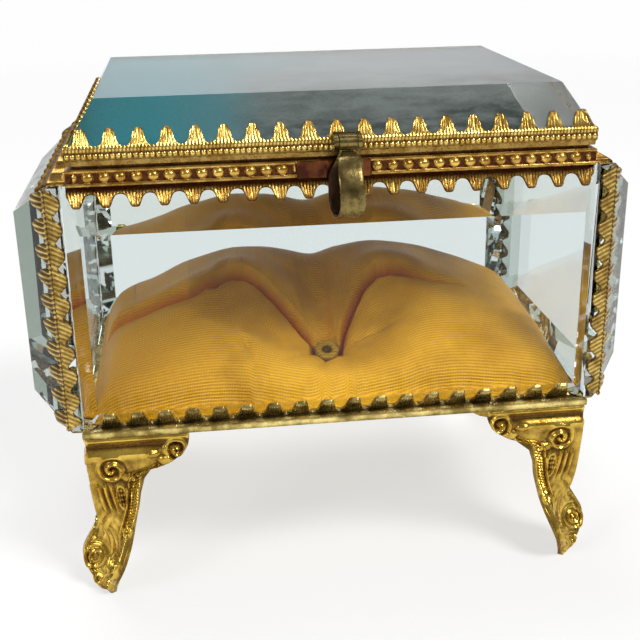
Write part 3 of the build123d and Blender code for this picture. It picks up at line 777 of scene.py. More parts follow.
@dataclass(frozen=True)
class LidTrim:
    """Trim round the lid glass: cove, row of pearls, ribs, and teeth up the bevel."""

    half_width: float = 50.5
    half_depth: float = 36.0
    sheet: float = 0.5
    band: float = 3.3
    cove: float = 1.05
    cove_depth: float = 0.25
    ledge: float = 1.5
    pitch: float = 5.2
    margin: float = 3.2
    pearl_pitch: float = 1.04
    pearl: float = 0.43
    pearl_height: float = 1.75
    rib_start: float = 2.4

    def build(self, side: Side, places: Places, gilt: bpy.types.Material) -> None:
        """Build one rail: cove z(r), pearls as half ellipsoids, ribs and teeth."""
        reach, half = (self.half_depth, self.half_width) if side.is_long else (self.half_width, self.half_depth)
        strip = Strip(columns(half), self.sheet, (half, reach))
        bottom = places.lid_bottom
        teeth = Teeth(half - self.margin, self.pitch, 0.45, 3.75)
        strip.add(reach - self.ledge, bottom, (0.0, -1.0), recess=0.9, inner=True)
        strip.add(reach - self.cove_depth, bottom, (1.0, -1.0), recess=0.8, inner=True)
        for share in np.linspace(0.0, 1.0, 5):
            depth = self.cove_depth * math.sqrt(max(0.0, 1.0 - share**2))
            strip.add(reach - depth, bottom + self.cove * share, (1.0, 0.0), recess=0.75)
        offset = teeth.offset(strip.along)
        pearls = strip.along - np.round(strip.along / self.pearl_pitch) * self.pearl_pitch
        for up in np.arange(self.cove + 0.08, self.band - 0.05, 0.145):
            bead = dome(pearls, np.full_like(pearls, up - self.pearl_height), self.pearl, self.pearl)
            rib = ribs(offset, self.pitch / teeth.ribs_per_pitch) * smooth(
                np.array(up), self.rib_start, self.rib_start + 0.35
            )
            lip = float(hump(np.array(up), self.cove + 0.12, 0.14))
            lift = 0.3 * bead + 0.14 * rib + 0.1 * lip
            recess = np.clip(0.95 - 1.0 * bead - 0.95 * rib - 0.6 * lip, 0.0, 1.0)
            strip.add(reach, bottom + up, (1.0, 0.0), lift, recess)
        play = self.sheet + 0.1
        bevel = Bevel(reach - play, places.lid_bevel, -5.1, 8.35)
        strip.add(reach, bottom + self.band, (1.0, 0.3), 0.0, 0.5, inner=True)
        add_leaf(strip, bevel, teeth, 0.15, plain=-1.0)
        surface = strip.surface(places.centre, side.along, side.outward, UP)
        name = f"lid_trim_{side.name.lower()}"
        make_piece(f"{name}_stamped", [surface], gilt, "lid", [name])


@dataclass(frozen=True)
class Rim:
    """Rim over the panes: lip, bead strip, moulding, and teeth down the bevels."""

    half_width: float = 50.5
    half_depth: float = 36.0
    sheet: float = 0.5
    height: float = 3.2
    lip: float = 1.2
    upstand: float = 0.6
    bead_pitch: float = 3.0
    bead: tuple[float, float, float] = (1.08, 0.95, 0.8)  # half length, half height, projection
    bead_height: float = 1.72
    moulding: float = 0.4
    catch: tuple[float, float] = (-8.0, 6.3)
    hinge_half: float = 15.4

    def bare(self, side: Side, along: Array) -> Array:
        """1 where the rim is plain under the catch plate or the hinge, and 0 elsewhere."""
        low, high = (-9e9, -9e9)
        if side is Side.FRONT:
            low, high = self.catch
        if side is Side.BACK:
            low, high = -self.hinge_half, self.hinge_half
        return ((along > low) & (along < high)).astype(float)

    def build(self, side: Side, places: Places, gilt: bpy.types.Material) -> None:
        """Build one rail: half-round lip and moulding, beads as half ellipsoids, and teeth."""
        long = side.is_long
        reach, half = (self.half_depth, self.half_width) if long else (self.half_width, self.half_depth)
        strip = Strip(columns(50.9 if long else half), self.sheet, None)
        along = strip.along
        plain = 1.0 - self.bare(side, along)
        top, bottom = places.rim_top, places.rim_top - self.height
        upstand = self.upstand * (0.0 if side is Side.BACK else 1.0)
        # Painted shade: the upstand behind the lip, and the top just behind the lip, are coloured dark to stand for the
        # shadowed slot under the lid.
        strip.add(reach - self.lip - 0.5, top + upstand, (0.0, 1.0), recess=1.0, limit=half - self.lip - 0.5, inner=True)
        strip.add(reach - self.lip, top + upstand, (0.0, 1.0), recess=1.0, limit=half - self.lip)
        strip.add(reach - self.lip, top, (0.0, 1.0), recess=0.9, limit=half - self.lip)
        strip.add(reach - 0.12, top, (0.0, 1.0), recess=0.2, limit=half - 0.12)
        strip.add(reach, top, (1.0, 1.0), -0.06, 0.1, half, inner=True)
        beads = along - (np.floor(along / self.bead_pitch) + 0.5) * self.bead_pitch
        fits = (np.abs(along) < half - 1.2).astype(float) * plain
        shelf = bottom + (0.0 if long else self.sheet)
        for up in np.arange(self.height - 0.1, shelf - bottom + 0.02, -0.15):
            bead = dome(beads, np.full_like(beads, up - self.bead_height), *self.bead[:2]) * fits
            lip = math.sqrt(max(0.0, 1.0 - ((up - self.height + 0.28) / 0.28) ** 2))
            roll = math.sqrt(max(0.0, 1.0 - ((up - self.moulding) / self.moulding) ** 2))
            lift = self.bead[2] * bead + (0.16 * lip + self.moulding * 0.9 * roll) * plain
            recess = np.clip(1.0 - 1.3 * bead**0.5 - 0.8 * lip - 0.55 * roll, 0.0, 1.0)
            strip.add(reach, bottom + up, (1.0, 0.0), lift, recess, half + np.max(lift) * 0.0)
        if long:
            bevel = Bevel(33.2, places.pane_top, 4.1, -8.7)
            teeth = Teeth(49.1, 5.46, 2.3, 4.5, half=1.25)
            strip.add(reach, bottom, (1.0, -1.0), 0.0, 0.8, half, inner=True)
            strip.add(33.9, bottom, (0.3, -1.0), 0.0, 0.9, 47.4, inner=True)
            add_leaf(strip, bevel, teeth, 0.15, limit=50.9, plain=1.3)
        else:
            bevel = Bevel(54.4, places.pane_top, 8.0, -6.6)
            teeth = Teeth(28.6, 5.2, 0.8, 3.4, half=1.25)
            strip.add(reach, shelf, (1.0, 1.0), 0.0, 0.9, 33.9, inner=True)
            rib = ribs(teeth.offset(along), teeth.pitch / teeth.ribs_per_pitch)
            for share in np.linspace(0.1, 0.95, 9):
                hollow = np.clip(1.0 - 0.55 * rib, 0.0, 1.0)
                strip.add(reach + 3.9 * share, shelf, (0.0, 1.0), 0.3 * (rib - 0.5), hollow, 33.9)
            strip.add(reach + 3.9, shelf, (0.3, 1.0), 0.0, 0.9, 33.7, inner=True)
            add_leaf(strip, bevel, teeth, 0.15, limit=33.4)
        surface = strip.surface(places.centre, side.along, side.outward, UP)
        name = f"rim_{side.name.lower()}"
        make_piece(f"{name}_stamped", [surface], gilt, "casket", [name])


@dataclass(frozen=True)
class BaseRail:
    """Rail under the panes: a low band, a ledge, and stub teeth up the bevels."""

    half_width: float = 52.2
    half_depth: float = 37.0
    sheet: float = 0.5
    band: float = 1.6

    def build(self, side: Side, places: Places, gilt: bpy.types.Material) -> None:
        """Build one rail: a rounded band and the toothed leaf off its ledge."""
        base = places.base
        if side.is_long:
            reach, half = self.half_depth, self.half_width
            strip = Strip(columns(half), self.sheet, (half, reach))
            waver = 0.05 * np.sin(strip.along * 0.9) + 0.04 * np.sin(strip.along * 2.3 + 1.0)
            strip.add(reach - self.sheet, base, (0.0, -1.0), recess=0.9, inner=True)
            strip.add(reach, base, (1.0, 0.0), -0.08, 0.6, inner=True)
            for up in np.linspace(0.12, self.band - 0.12, 7):
                roll = math.sin(math.pi * up / self.band)
                strip.add(reach, base + up, (1.0, 0.0), 0.16 * roll - 0.1 + waver, 0.75 - 0.6 * roll)
            strip.add(reach, base + self.band, (1.0, 1.0), -0.12, 0.1, inner=True)
            strip.add(reach - 0.5, base + self.band, (0.0, 1.0), waver, 0.2)
            strip.add(reach - 1.4, base + self.band, (0.0, 1.0), -0.12, 0.85)
            strip.add(reach - 2.3, base + self.band, (-0.4, 1.0), 0.0, 0.9, 49.5, inner=True)
            bevel = Bevel(33.2, places.pane_bottom, 4.1, 4.6)
            teeth = Teeth(46.4, 5.46, 1.75, 6.6, 1.58, 7.0, 0.35, ribs_per_pitch=8, rib_depth=0.3, swell=0.5, grime_and_shade=0.6)
            add_leaf(strip, bevel, teeth, 1.55, limit=49.0, plain=-1.0)
        else:
            reach, half = self.half_width, self.half_depth
            strip = Strip(columns(half), self.sheet, (half, reach))
            strip.add(reach - self.sheet, base, (0.0, -1.0), recess=0.9, limit=33.9, inner=True)
            strip.add(reach, base + 0.1, (0.7, -0.7), 0.0, 0.6, limit=33.9)
            strip.add(reach + 2.2, base + 0.2, (0.5, -1.0), 0.0, 0.5, limit=33.9, inner=True)
            bevel = Bevel(54.4, places.pane_bottom, 8.0, 5.4)
            teeth = Teeth(28.6, 5.2, 1.2, 3.9, half=1.25)
            add_leaf(strip, bevel, teeth, 0.2, limit=33.4)
        surface = strip.surface(places.centre, side.along, side.outward, UP)
        name = f"base_rail_{side.name.lower()}"
        make_piece(f"{name}_stamped", [surface], gilt, "casket", [name])


@dataclass(frozen=True)
class CornerPost:
    """Corner post: scalloped flange, pearled corner, and scallops on the end pane's bevel."""

    bottom: float = 1.9
    flange_reach: float = 36.5
    side_reach: float = 55.1
    sheet: float = 0.5
    pitch: float = 5.0
    top_tooth: float = 2.4
    pearl_pitch: float = 1.0

    def scallop(self, height: Array, first: float, width: float) -> tuple[Array, Array]:
        """Tooth 1 / (1 + |x / w|^4), with w wider below its middle than above, and that offset x."""
        offset = height - first
        offset = offset - np.round(offset / self.pitch) * self.pitch
        wide = np.where(offset > 0.0, width * 0.85, width * 1.2)
        return 1.0 / (1.0 + np.abs(offset / wide) ** 4), offset

    def build(self, corner: Corner, places: Places, gilt: bpy.types.Material) -> None:
        """Build one post. Its lines run up it, and its sections lie in plan."""
        sign_x, sign_y = corner.value
        low, high = places.base + self.bottom, places.pane_top
        height = np.linspace(low, high, math.ceil((high - low) / 0.2))
        strip = Strip(height, self.sheet)
        first = high - self.top_tooth
        round_head, offset = self.scallop(height, first, 1.55)
        edge = 0.95 + 1.75 * round_head
        foot = smooth(height, low, low + 1.6)
        for share in (0.0, 0.04, 0.12, 0.3, 0.5, 0.7, 0.85, 1.0):
            out = (self.side_reach - 0.5) - edge * (1.0 - share) * foot
            rays = ribs(offset + 0.55 * edge * (1.0 - share), 0.95)
            rolled = 0.3 * max(0.0, 1.0 - share / 0.12) ** 2
            rim = max(0.0, 1.0 - share / 0.08)
            strip.add(out, self.flange_reach, (0.0, 1.0), 0.1 * (rays - 0.5) * min(1.0, share * 8) - rolled,
                      np.clip(0.85 - 0.65 * rays + rim, 0.0, 1.0), inner=share in (0.0, 1.0))
        pearls = height - np.round(height / self.pearl_pitch) * self.pearl_pitch
        for turn in np.linspace(0.1, 0.9, 7):
            angle = math.radians(90.0 * turn)
            normal = (math.sin(angle), math.cos(angle))
            bead = dome(pearls, np.full_like(pearls, (turn - 0.5) * 0.9), 0.38, 0.38)
            strip.add(self.side_reach - 0.5 + 0.5 * normal[0], self.flange_reach - 0.5 + 0.5 * normal[1], normal,
                      0.22 * bead, 1.0 - 0.75 * bead, inner=turn == 0.5)
        strip.add(self.side_reach, self.flange_reach - 1.3, (1.0, 0.0), 0.0, 0.7, inner=True)
        slope = np.array([8.0, -10.1]) / math.hypot(8.0, 10.1)
        normal = np.array([-slope[1], slope[0]])
        start = np.array([54.4, 34.6]) + normal * (0.1 + self.sheet)
        edge = 0.75 + 4.7 * round_head
        for share in (0.05, 0.15, 0.25, 0.35, 0.45, 0.55, 0.65, 0.75, 0.85, 0.93, 0.975, 1.0):
            run = edge * share
            rays = ribs(offset / (1.0 + 0.1 * run), 0.9)
            rolled = 0.4 * max(0.0, (share - 0.9) / 0.1) ** 2
            raised = min(1.0, share * 6.0) * min(1.0, (1.0 - share) * 10.0)
            belly = 0.25 * round_head * math.sin(math.pi * share)
            strip.add(start[0] + slope[0] * run, start[1] + slope[1] * run, tuple(normal),
                      0.24 * (rays - 0.5) * raised + belly - rolled, np.clip(1.0 - 1.0 * rays * raised, 0.0, 1.0),
                      inner=share in (0.05, 1.0))
        surface = strip.surface(places.centre, UP, np.array([sign_x, 0.0, 0.0]), np.array([0.0, sign_y, 0.0]))
        name = f"corner_post_{corner.name.lower()}"
        make_piece(f"{name}_stamped", [surface], gilt, "casket", [name])


@dataclass(frozen=True)
class Foot:
    """Cast cabriole foot: a bent plate with scrolls, ribbed borders and a scalloped toe."""

    half_width: float = 51.8
    half_depth: float = 36.6
    wall: float = 1.2
    # height above the table: how far the ridge is drawn in, inner edge, flare of that edge
    heights: tuple[float, ...] = (0.0, 1.2, 2.8, 5.6, 8.5, 11.4, 14.3, 17.2, 20.1, 23.0, 26.4, 29.8, 33.2, 36.7)
    ridge: tuple[float, ...] = (1.3, 1.0, 1.0, 1.7, 2.8, 3.0, 2.2, 1.3, 0.8, 0.5, 0.3, 0.1, 0.0, 0.0)
    edge: tuple[float, ...] = (2.3, 2.6, 3.0, 3.9, 5.1, 6.4, 7.8, 8.8, 9.6, 10.0, 10.3, 10.5, 10.6, 10.6)
    flare: tuple[float, ...] = (-0.2, -0.9, -1.5, -3.2, -3.5, -2.0, 0.0, 0.8, 0.7, 0.5, 0.3, 0.1, 0.0, 0.0)
    # depth below the base: inboard edge of the wing
    wing_depth: tuple[float, ...] = (0.0, 1.6, 3.0, 4.5, 5.5, 6.2, 6.8, 7.3, 7.6, 7.9, 8.4, 9.2, 10.5, 12.0)
    wing_edge: tuple[float, ...] = (20.8, 20.7, 20.4, 19.6, 18.6, 17.5, 16.5, 15.5, 14.4, 12.9, 11.7, 11.0, 10.6, 10.45)

    def volute(self, m: Array, d: Array, middle: tuple[float, float], radius: float, turn: float) -> Array:
        """Spiral ridge cos(2 pi (r / pitch - turn * angle / 2 pi)) inside a radius."""
        x, y = m - middle[0], d - middle[1]
        r, angle = np.hypot(x, y), np.arctan2(y, x)
        wind = 0.5 + 0.5 * np.cos(2.0 * np.pi * (r / (radius * 0.62)) - turn * angle)
        return wind * np.exp(-((r / radius) ** 6))

    def relief(self, m: Array, d: Array, e: Array) -> Array:
        """Height of the casting's ornament.

        Args:
            m: Distance from the corner ridge along the leaf.
            d: Depth below the base.
            e: Distance from the inner edge.

        Returns:
            Lift off the plain leaf.
        """
        leg = smooth(d, 9.0, 11.0)
        low = smooth(d, 21.0, 25.0)
        toe = smooth(d, 24.5, 27.0)
        # bead under the rail, cove, and smooth shoulder
        lift = 0.45 * hump(d, 0.7, 0.5) - 0.45 * hump(d, 2.3, 0.9) + 0.55 * hump(d, 4.2, 1.1) * (1.0 - smooth(m, 12.0, 14.5))
        # scroll and hook at the wing's end
        lift += 1.0 * self.volute(m, d, (18.2, 3.6), 2.7, -1.0)
        lift += 0.7 * dome(m - 15.6, d - 5.9, 1.5, 1.1) + 0.5 * dome(m - 13.3, d - 4.4, 1.3, 0.8)
        # rope band round the arch and down the leg, with a raised line beside it
        rope = smooth(e, 0.2, 0.6) * (1.0 - smooth(e, 1.8, 2.2)) * (1.0 - low)
        turn = np.where(d < 9.5, m - d, 9.5 - 1.6 * d)
        lift += rope * (0.15 + 0.5 * ribs(turn + 0.5 * e, 1.15)) * smooth(d, 3.0, 5.0) * (1.0 - smooth(m, 13.5, 15.5))
        lift += 0.6 * hump(e, 2.7, 0.3) * smooth(d, 4.5, 6.5) * (1.0 - low) * (1.0 - smooth(m, 12.5, 14.5))
        # leaf curl on the knee
        lift += 1.1 * self.volute(m, d, (4.6, 7.4), 3.0, 1.0) + 0.6 * dome(m - 7.6, d - 9.4, 1.4, 1.0)
        # three flutes and a stippled oval below it
        flutes = smooth(m, 0.8, 1.2) * (1.0 - smooth(m, 4.3, 4.8)) * smooth(d, 10.2, 11.4) * (1.0 - smooth(d, 16.0, 19.0))
        lift += 0.6 * flutes * ribs(m - 0.1 * (d - 11.0), 1.25)
        oval = np.hypot((m - 5.7) / 0.95, (d - 14.0) / 2.8)
        stipple = np.sin(6.3 * m + 3.0 * d) * np.sin(6.3 * m - 3.0 * d)
        lift += 0.45 * hump(oval, 1.0, 0.22) + 0.2 * stipple * (1.0 - smooth(oval, 0.7, 0.95))
        # small leaves by the ridge, veins to the ankle, crisp inner edge
        lift += 0.35 * ribs(m + 0.75 * d, 2.1) * hump(m, 1.2, 1.3) * hump(d, 19.5, 3.0)
        lift += 0.3 * ribs(m - 0.25 * d, 1.5) * hump(d, 23.0, 2.4) * smooth(m, 0.6, 1.4)
        lift += 0.55 * hump(e, 0.75, 0.35) * low
        # ringed lobes on the toe, and a beaded border
        r = np.hypot(m - 3.4, d - 29.3)
        lift += 0.5 * ribs(r, 1.15) * np.exp(-((r / 2.9) ** 4)) * toe
        r = np.hypot(m - 1.5, d - 34.0)
        lift += 0.4 * ribs(r, 0.95) * np.exp(-((r / 1.8) ** 4)) * toe
        lift += 0.3 * hump(e, 1.9, 0.4) * ribs(d, 0.9) * toe
        return lift

    def build(self, corner: Corner, places: Places, gilt: bpy.types.Material) -> None:
        """Build one foot: leaf points ridge + u (edge - ridge) on both sides of the ridge."""
        sign_x, sign_y = corner.value
        depth = np.unique(np.concatenate([np.linspace(0.0, 13.0, 66), np.linspace(13.0, places.base, 98)]))
        ridge = through(self.heights, self.ridge, places.base - depth)
        edge = through(self.heights, self.edge, places.base - depth)
        flare = through(self.heights, self.flare, places.base - depth)
        wing = np.interp(depth, self.wing_depth, self.wing_edge)
        edge = np.where(depth < 12.0, np.maximum(wing, edge), edge)
        share = np.linspace(0.0, 1.0, 78)
        d, u = np.meshgrid(depth, share, indexing="ij")
        r, ed, fl = (np.broadcast_to(values[:, None], d.shape) for values in (ridge, edge, flare))
        length = np.hypot(ed - r, fl - r)
        m, e = u * length, (1.0 - u) * length
        lift = self.relief(m, d, e)
        # Points below their blurred surroundings get a higher recess, which the gilt shows as tarnish and painted shade
        # in the casting's hollows.
        hollow = 3.0 * (blurred(lift, 4) - lift)
        lift = lift * smooth(e, 0.0, 0.5) * smooth(m, -0.2, 0.5) - 0.35 * (1.0 - smooth(e, 0.0, 0.45)) ** 2
        lift += 0.35 * hump(m, 0.0, 0.5) * smooth(d, 3.0, 6.0) * smooth(places.base - d, 0.0, 3.0)
        lift *= smooth(places.base - d, -0.4, 1.5)
        inboard, inward = r + (ed - r) * u, r + (fl - r) * u
        normal_a, normal_b = (fl - r) / length, -(ed - r) / length
        fade = smooth(m, -0.6, 1.0)
        diagonal = 1.0 / math.sqrt(2.0)
        normal_a = normal_a * fade - diagonal * (1.0 - fade)
        normal_b = normal_b * fade - diagonal * (1.0 - fade)
        a, b = inboard + normal_a * lift, inward + normal_b * lift
        back_a, back_b = inboard - normal_a * self.wall, inward - normal_b * self.wall
        mirrored = [np.concatenate([second[:, :0:-1], first], 1) for first, second in ((a, b), (b, a))]
        backs = [np.concatenate([second[:, :0:-1], first], 1) for first, second in ((back_a, back_b), (back_b, back_a))]
        height = np.broadcast_to((places.base - depth)[:, None], mirrored[0].shape)
        hollow = np.concatenate([hollow[:, :0:-1], hollow], 1)

        def stand(inboard_x: Array, inboard_y: Array, up: Array) -> Array:
            """Plan distances from the foot's corner, made points."""
            x = sign_x * (self.half_width - inboard_x)
            y = places.case_y + sign_y * (self.half_depth - inboard_y)
            return np.stack([x, y, up], -1)

        front = stand(mirrored[0], mirrored[1], height)
        keep = np.unique(np.concatenate([np.arange(0, len(depth), 6), [len(depth) - 1]]))
        back = stand(backs[0][keep], backs[1][keep], height[keep])
        recess = np.clip(0.22 + hollow, 0.0, 1.0)
        name = f"foot_{corner.name.lower()}"
        make_piece(f"{name}_cast", [shell(front, back, recess)], gilt, "casket", [name], 55.0)


# ---------------------------------------------------------------- the cushion


def lay_weave(mesh: bpy.types.Mesh, weave: Array) -> None:
    """Give a mesh the UV map of its cloth, from one place in millimetres for each vertex."""
    corners = np.empty(len(mesh.loops), int)
    mesh.loops.foreach_get("vertex_index", corners)
    layer = mesh.uv_layers.new(name=WEAVE)
    layer.data.foreach_set("uv", (weave[corners] * MM).reshape(-1))


@dataclass(frozen=True)
class Cushion:
    """Buttoned cushion of ribbed silk, full behind its creases and low at the front edge."""

    half_length: float = 51.0
    half_depth: float = 30.5
    tuft_y: float = -12.5
    front_y: float = -21.0
    crest_y: float = 11.0
    draw: float = 0.9
    pit: float = 2.2  # height of the cloth under the button
    pull_in: tuple[float, float] = (0.006, 0.012)  # how far the sides bow in between the corners
    stations: tuple[tuple[float, ...], ...] = (
        (-51.0, 4.2, 4.9, 5.2, 5.4),
        (-47.0, 5.4, 8.2, 9.6, 11.0),
        (-38.0, 6.1, 10.6, 13.2, 15.8),
        (-29.0, 6.4, 11.8, 15.4, 19.9),
        (-20.0, 6.5, 11.5, 15.2, 22.3),
        (-12.0, 6.3, 9.4, 10.6, 22.4),
        (-6.0, 6.0, 7.3, 6.8, 21.2),
        (0.0, 5.7, 5.9, 3.8, 20.0),
        (6.0, 6.0, 7.4, 6.9, 21.6),
        (12.0, 6.3, 9.5, 10.8, 22.5),
        (20.0, 6.5, 11.8, 15.4, 21.9),
        (29.0, 6.4, 12.0, 15.7, 19.6),
        (38.0, 6.1, 10.8, 13.7, 16.1),
        (47.0, 5.4, 8.4, 10.0, 11.2),
        (51.0, 4.2, 4.9, 5.2, 5.4),
    )
    # creases in plan, from the button outwards
    left_crease: tuple[tuple[float, float], ...] = (
        (-1.6, -12.0), (-2.8, -10.1), (-4.9, -9.3), (-7.6, -6.7), (-11.2, -4.3), (-14.6, -2.1), (-17.2, -1.3),
        (-20.2, -2.1), (-24.0, -3.9), (-29.5, -6.2), (-35.0, -6.5), (-40.6, -6.7), (-46.3, -6.8), (-49.5, -7.1),
    )
    right_crease: tuple[tuple[float, float], ...] = (
        (1.6, -12.0), (3.4, -11.6), (4.5, -8.9), (6.8, -5.8), (10.1, -2.3), (13.3, -0.9), (16.5, -1.5),
        (18.9, -3.0), (21.2, -4.6), (24.5, -5.9), (30.7, -6.6), (35.2, -6.7),
    )
    valley: tuple[tuple[float, float], ...] = ((0.6, -11.0), (1.0, -9.4), (1.4, -5.8), (2.0, 2.0), (3.5, 14.0))
    puckers: tuple[tuple[tuple[float, float], tuple[float, float]], ...] = (
        ((-3.0, -14.5), (-12.0, -27.0)), ((2.5, -15.5), (7.0, -27.0)), ((-18.2, -20.0), (-16.4, -29.5)),
        ((4.0, -13.5), (20.0, -16.0)), ((-24.0, -5.9), (-18.5, 6.0)), ((0.0, -16.0), (-3.5, -27.0)),
    )

    def to_line(self, x: Array, y: Array, line: Sequence[tuple[float, float]]) -> tuple[Array, Array, Array]:
        """Distance to a bent line, which side of it, and how far along it, from 0 to 1."""
        best = np.full(x.shape, np.inf)
        side, share = np.zeros(x.shape), np.zeros(x.shape)
        for place, ((ax, ay), (bx, by)) in enumerate(zip(line[:-1], line[1:])):
            dx, dy = bx - ax, by - ay
            t = np.clip(((x - ax) * dx + (y - ay) * dy) / (dx * dx + dy * dy), 0.0, 1.0)
            off_x, off_y = x - ax - t * dx, y - ay - t * dy
            distance = np.hypot(off_x, off_y)
            near = distance < best
            side = np.where(near, np.sign(dx * off_y - dy * off_x), side)
            share = np.where(near, (place + t) / (len(line) - 1), share)
            best = np.minimum(best, distance)
        return best, side, share

    def plump(self, x: Array, y: Array) -> Array:
        """Height of the filled cloth before its creases, by smooth curves along and across."""
        table = np.array(self.stations)
        border, front, middle, crest = (through(table[:, 0], table[:, k], x) for k in (1, 2, 3, 4))
        rear = border + 0.15 * (crest - border)
        inner = self.half_depth - self.draw
        knots = (-inner, self.front_y, self.tuft_y, self.crest_y, inner)
        values = np.stack([border, front, middle, crest, rear])
        chord = np.diff(values, axis=0) / np.diff(knots)[:, None, None]
        slope = np.concatenate(
            [1.5 * chord[:1], (chord[1:] + chord[:-1]) / 2.0, 1.5 * chord[-1:]]
        )
        slope[3] = 0.0
        height = np.zeros_like(x)
        for k, (low, high) in enumerate(zip(knots[:-1], knots[1:])):
            h = high - low
            q = np.clip((y - low) / h, 0.0, 1.0)
            piece = (
                (2 * q**3 - 3 * q**2 + 1) * values[k]
                + (q**3 - 2 * q**2 + q) * h * slope[k]
                + (3 * q**2 - 2 * q**3) * values[k + 1]
                + (q**3 - q**2) * h * slope[k + 1]
            )
            inside = (y >= low) & ((y < high) | (k == len(knots) - 2))
            height = np.where(inside, piece, height)
        return height

    def folded(self, x: Array, y: Array) -> tuple[Array, Array]:
        """Height with the creases pressed in, and how deep in a crease each point lies, which paints shade along the
        creases and round the button.
        """
        height = self.plump(x, y)
        crease_shade = np.zeros_like(x)
        broad, sharp = np.zeros_like(x), np.zeros_like(x)
        for line, behind, fades in ((self.left_crease, -1.0, 0.92), (self.right_crease, 1.0, 0.6)):
            distance, side, share = self.to_line(x, y, line)
            strong = (1.0 - smooth(share, fades, 1.0)) * smooth(share, 0.0, 0.12)
            rear = side == behind
            broad += strong * np.where(rear, 2.6 * hump(distance, 2.8, 4.0), 1.0 * hump(distance, 4.0, 3.4))
            welt = 0.75 * hump(distance, 1.25, 0.75) * rear
            sharp += strong * (np.where(rear, 3.2, 2.4) * np.exp(-((distance / 0.75) ** 1.4)) - welt)
            # Painted shade along each crease, strongest on the line itself.
            crease_shade = np.maximum(crease_shade, 0.7 * strong * np.exp(-((distance / 0.75) ** 2)))
        height += blurred(broad, 4) - sharp
        distance, _, share = self.to_line(x, y, self.valley)
        fade = 1.0 - smooth(share, 0.3, 1.0)
        height -= blurred(fade * 2.4 * np.exp(-((distance / 2.4) ** 2)), 3)
        crease_shade = np.maximum(crease_shade, 0.3 * fade * np.exp(-distance / 0.9))
        for line in self.puckers:
            distance, _, share = self.to_line(x, y, line)
            height -= (1.0 - share) * (0.8 * np.exp(-distance / 0.7) - 0.4 * hump(distance, 1.8, 1.1))
        ahead = np.where(y < self.tuft_y, 0.62, 1.0)
        pull = np.hypot(x, (y - self.tuft_y) * ahead)
        pit = 1.0 - smooth(pull, 2.5, 4.3)
        height += pit * (np.minimum(height, self.pit) - height)
        # Painted shade: fully dark in the ring round the button.
        crease_shade = np.maximum(crease_shade, 1.0 - smooth(np.hypot(x, y - self.tuft_y), 2.9, 3.9))
        height += 0.12 * np.sin(x * 0.55 + 0.4 * np.sin(y * 0.3)) * np.sin(y * 0.42 + 1.0)
        return height, np.clip(crease_shade, 0.0, 1.0)

    def build(self, places: Places, silk: bpy.types.Material) -> None:
        """Build the cushion: a closed skin over the top, round the border and under the seat."""
        seat = Places.box("cushion")[0][2]
        inner = self.half_depth - self.draw
        width = self.half_length - self.draw
        xs, ys = np.linspace(-width, width, 341), np.linspace(-inner, inner, 221)
        x, y = np.meshgrid(xs, ys, indexing="xy")
        height, crease_shade = self.folded(x, y)
        edge = np.minimum(width - np.abs(x), inner - np.abs(y))
        gather = 0.22 * ribs(x + 0.3 * y, 2.1) * np.exp(-edge / 1.6)
        fall = np.sqrt(1.0 - (1.0 - np.clip(edge / 4.5, 0.0, 1.0)) ** 2)
        height = height * (0.3 + 0.7 * fall) - gather
        bow_x = x * (1.0 - self.pull_in[0] * np.cos(0.5 * np.pi * y / inner) ** 2)
        bow_y = y * (1.0 - self.pull_in[1] * np.cos(0.5 * np.pi * x / width) ** 2)
        top = np.stack([bow_x, bow_y + places.case_y, seat + height], -1)
        rows, cols = x.shape
        index = np.arange(rows * cols).reshape(rows, cols)
        border = np.concatenate([index[0, :-1], index[:-1, -1], index[-1, :0:-1], index[:0:-1, 0]])
        ring = top.reshape(-1, 3)[border]
        rings = []
        for turn in np.linspace(0.0, 1.0, 11)[1:]:
            bulge = math.sin(math.pi * turn)
            level = seat + (ring[:, 2] - seat) * (1.0 - turn) ** 0.9
            spot = ring.copy()
            flat_x, flat_y = x.reshape(-1)[border], y.reshape(-1)[border]
            outward_x = np.where(np.abs(flat_x) > width - 0.01, np.sign(flat_x), 0.0)
            outward_y = np.where(np.abs(flat_y) > inner - 0.01, np.sign(flat_y), 0.0)
            spot[:, 0] += outward_x * self.draw * bulge
            spot[:, 1] += outward_y * self.draw * bulge
            spot[:, 2] = level
            rings.append(spot)
        skirt = np.array(rings)
        turns, count, _ = skirt.shape
        start = rows * cols
        skirt_index = np.arange(turns * count).reshape(turns, count) + start
        join = np.concatenate([border[None], skirt_index])
        after = np.roll(join, -1, axis=1)
        sides = np.stack([join[:-1], join[1:], after[1:], after[:-1]], -1).reshape(-1, 4)
        slope = np.hypot(np.diff(bow_y, axis=0), np.diff(height, axis=0))
        arc = np.concatenate([np.zeros((1, cols)), np.cumsum(slope, axis=0)])
        arc -= arc[rows // 3]
        drop = ring[None, :, 2] - skirt[:, :, 2]
        skirt_v = arc.reshape(-1)[border] + np.where(outward_y != 0.0, outward_y, 0.4) * drop
        skirt_u = flat_x + outward_x * drop * (outward_y == 0.0)
        weave = np.concatenate(
            [np.stack([x, arc], -1).reshape(-1, 2), np.stack(np.broadcast_arrays(skirt_u, skirt_v), -1).reshape(-1, 2)]
        )
        surface = Surface(
            np.concatenate([top.reshape(-1, 3), skirt.reshape(-1, 3)]),
            np.concatenate([grid_quads(rows, cols), sides]),
            [skirt_index[-1].tolist()],
            np.concatenate([crease_shade.reshape(-1), np.full(turns * count, 0.05)]),
        )
        piece = make_piece("cushion_silk", [surface], silk, "casket", ["cushion"], 60.0)
        lay_weave(piece.data, weave)


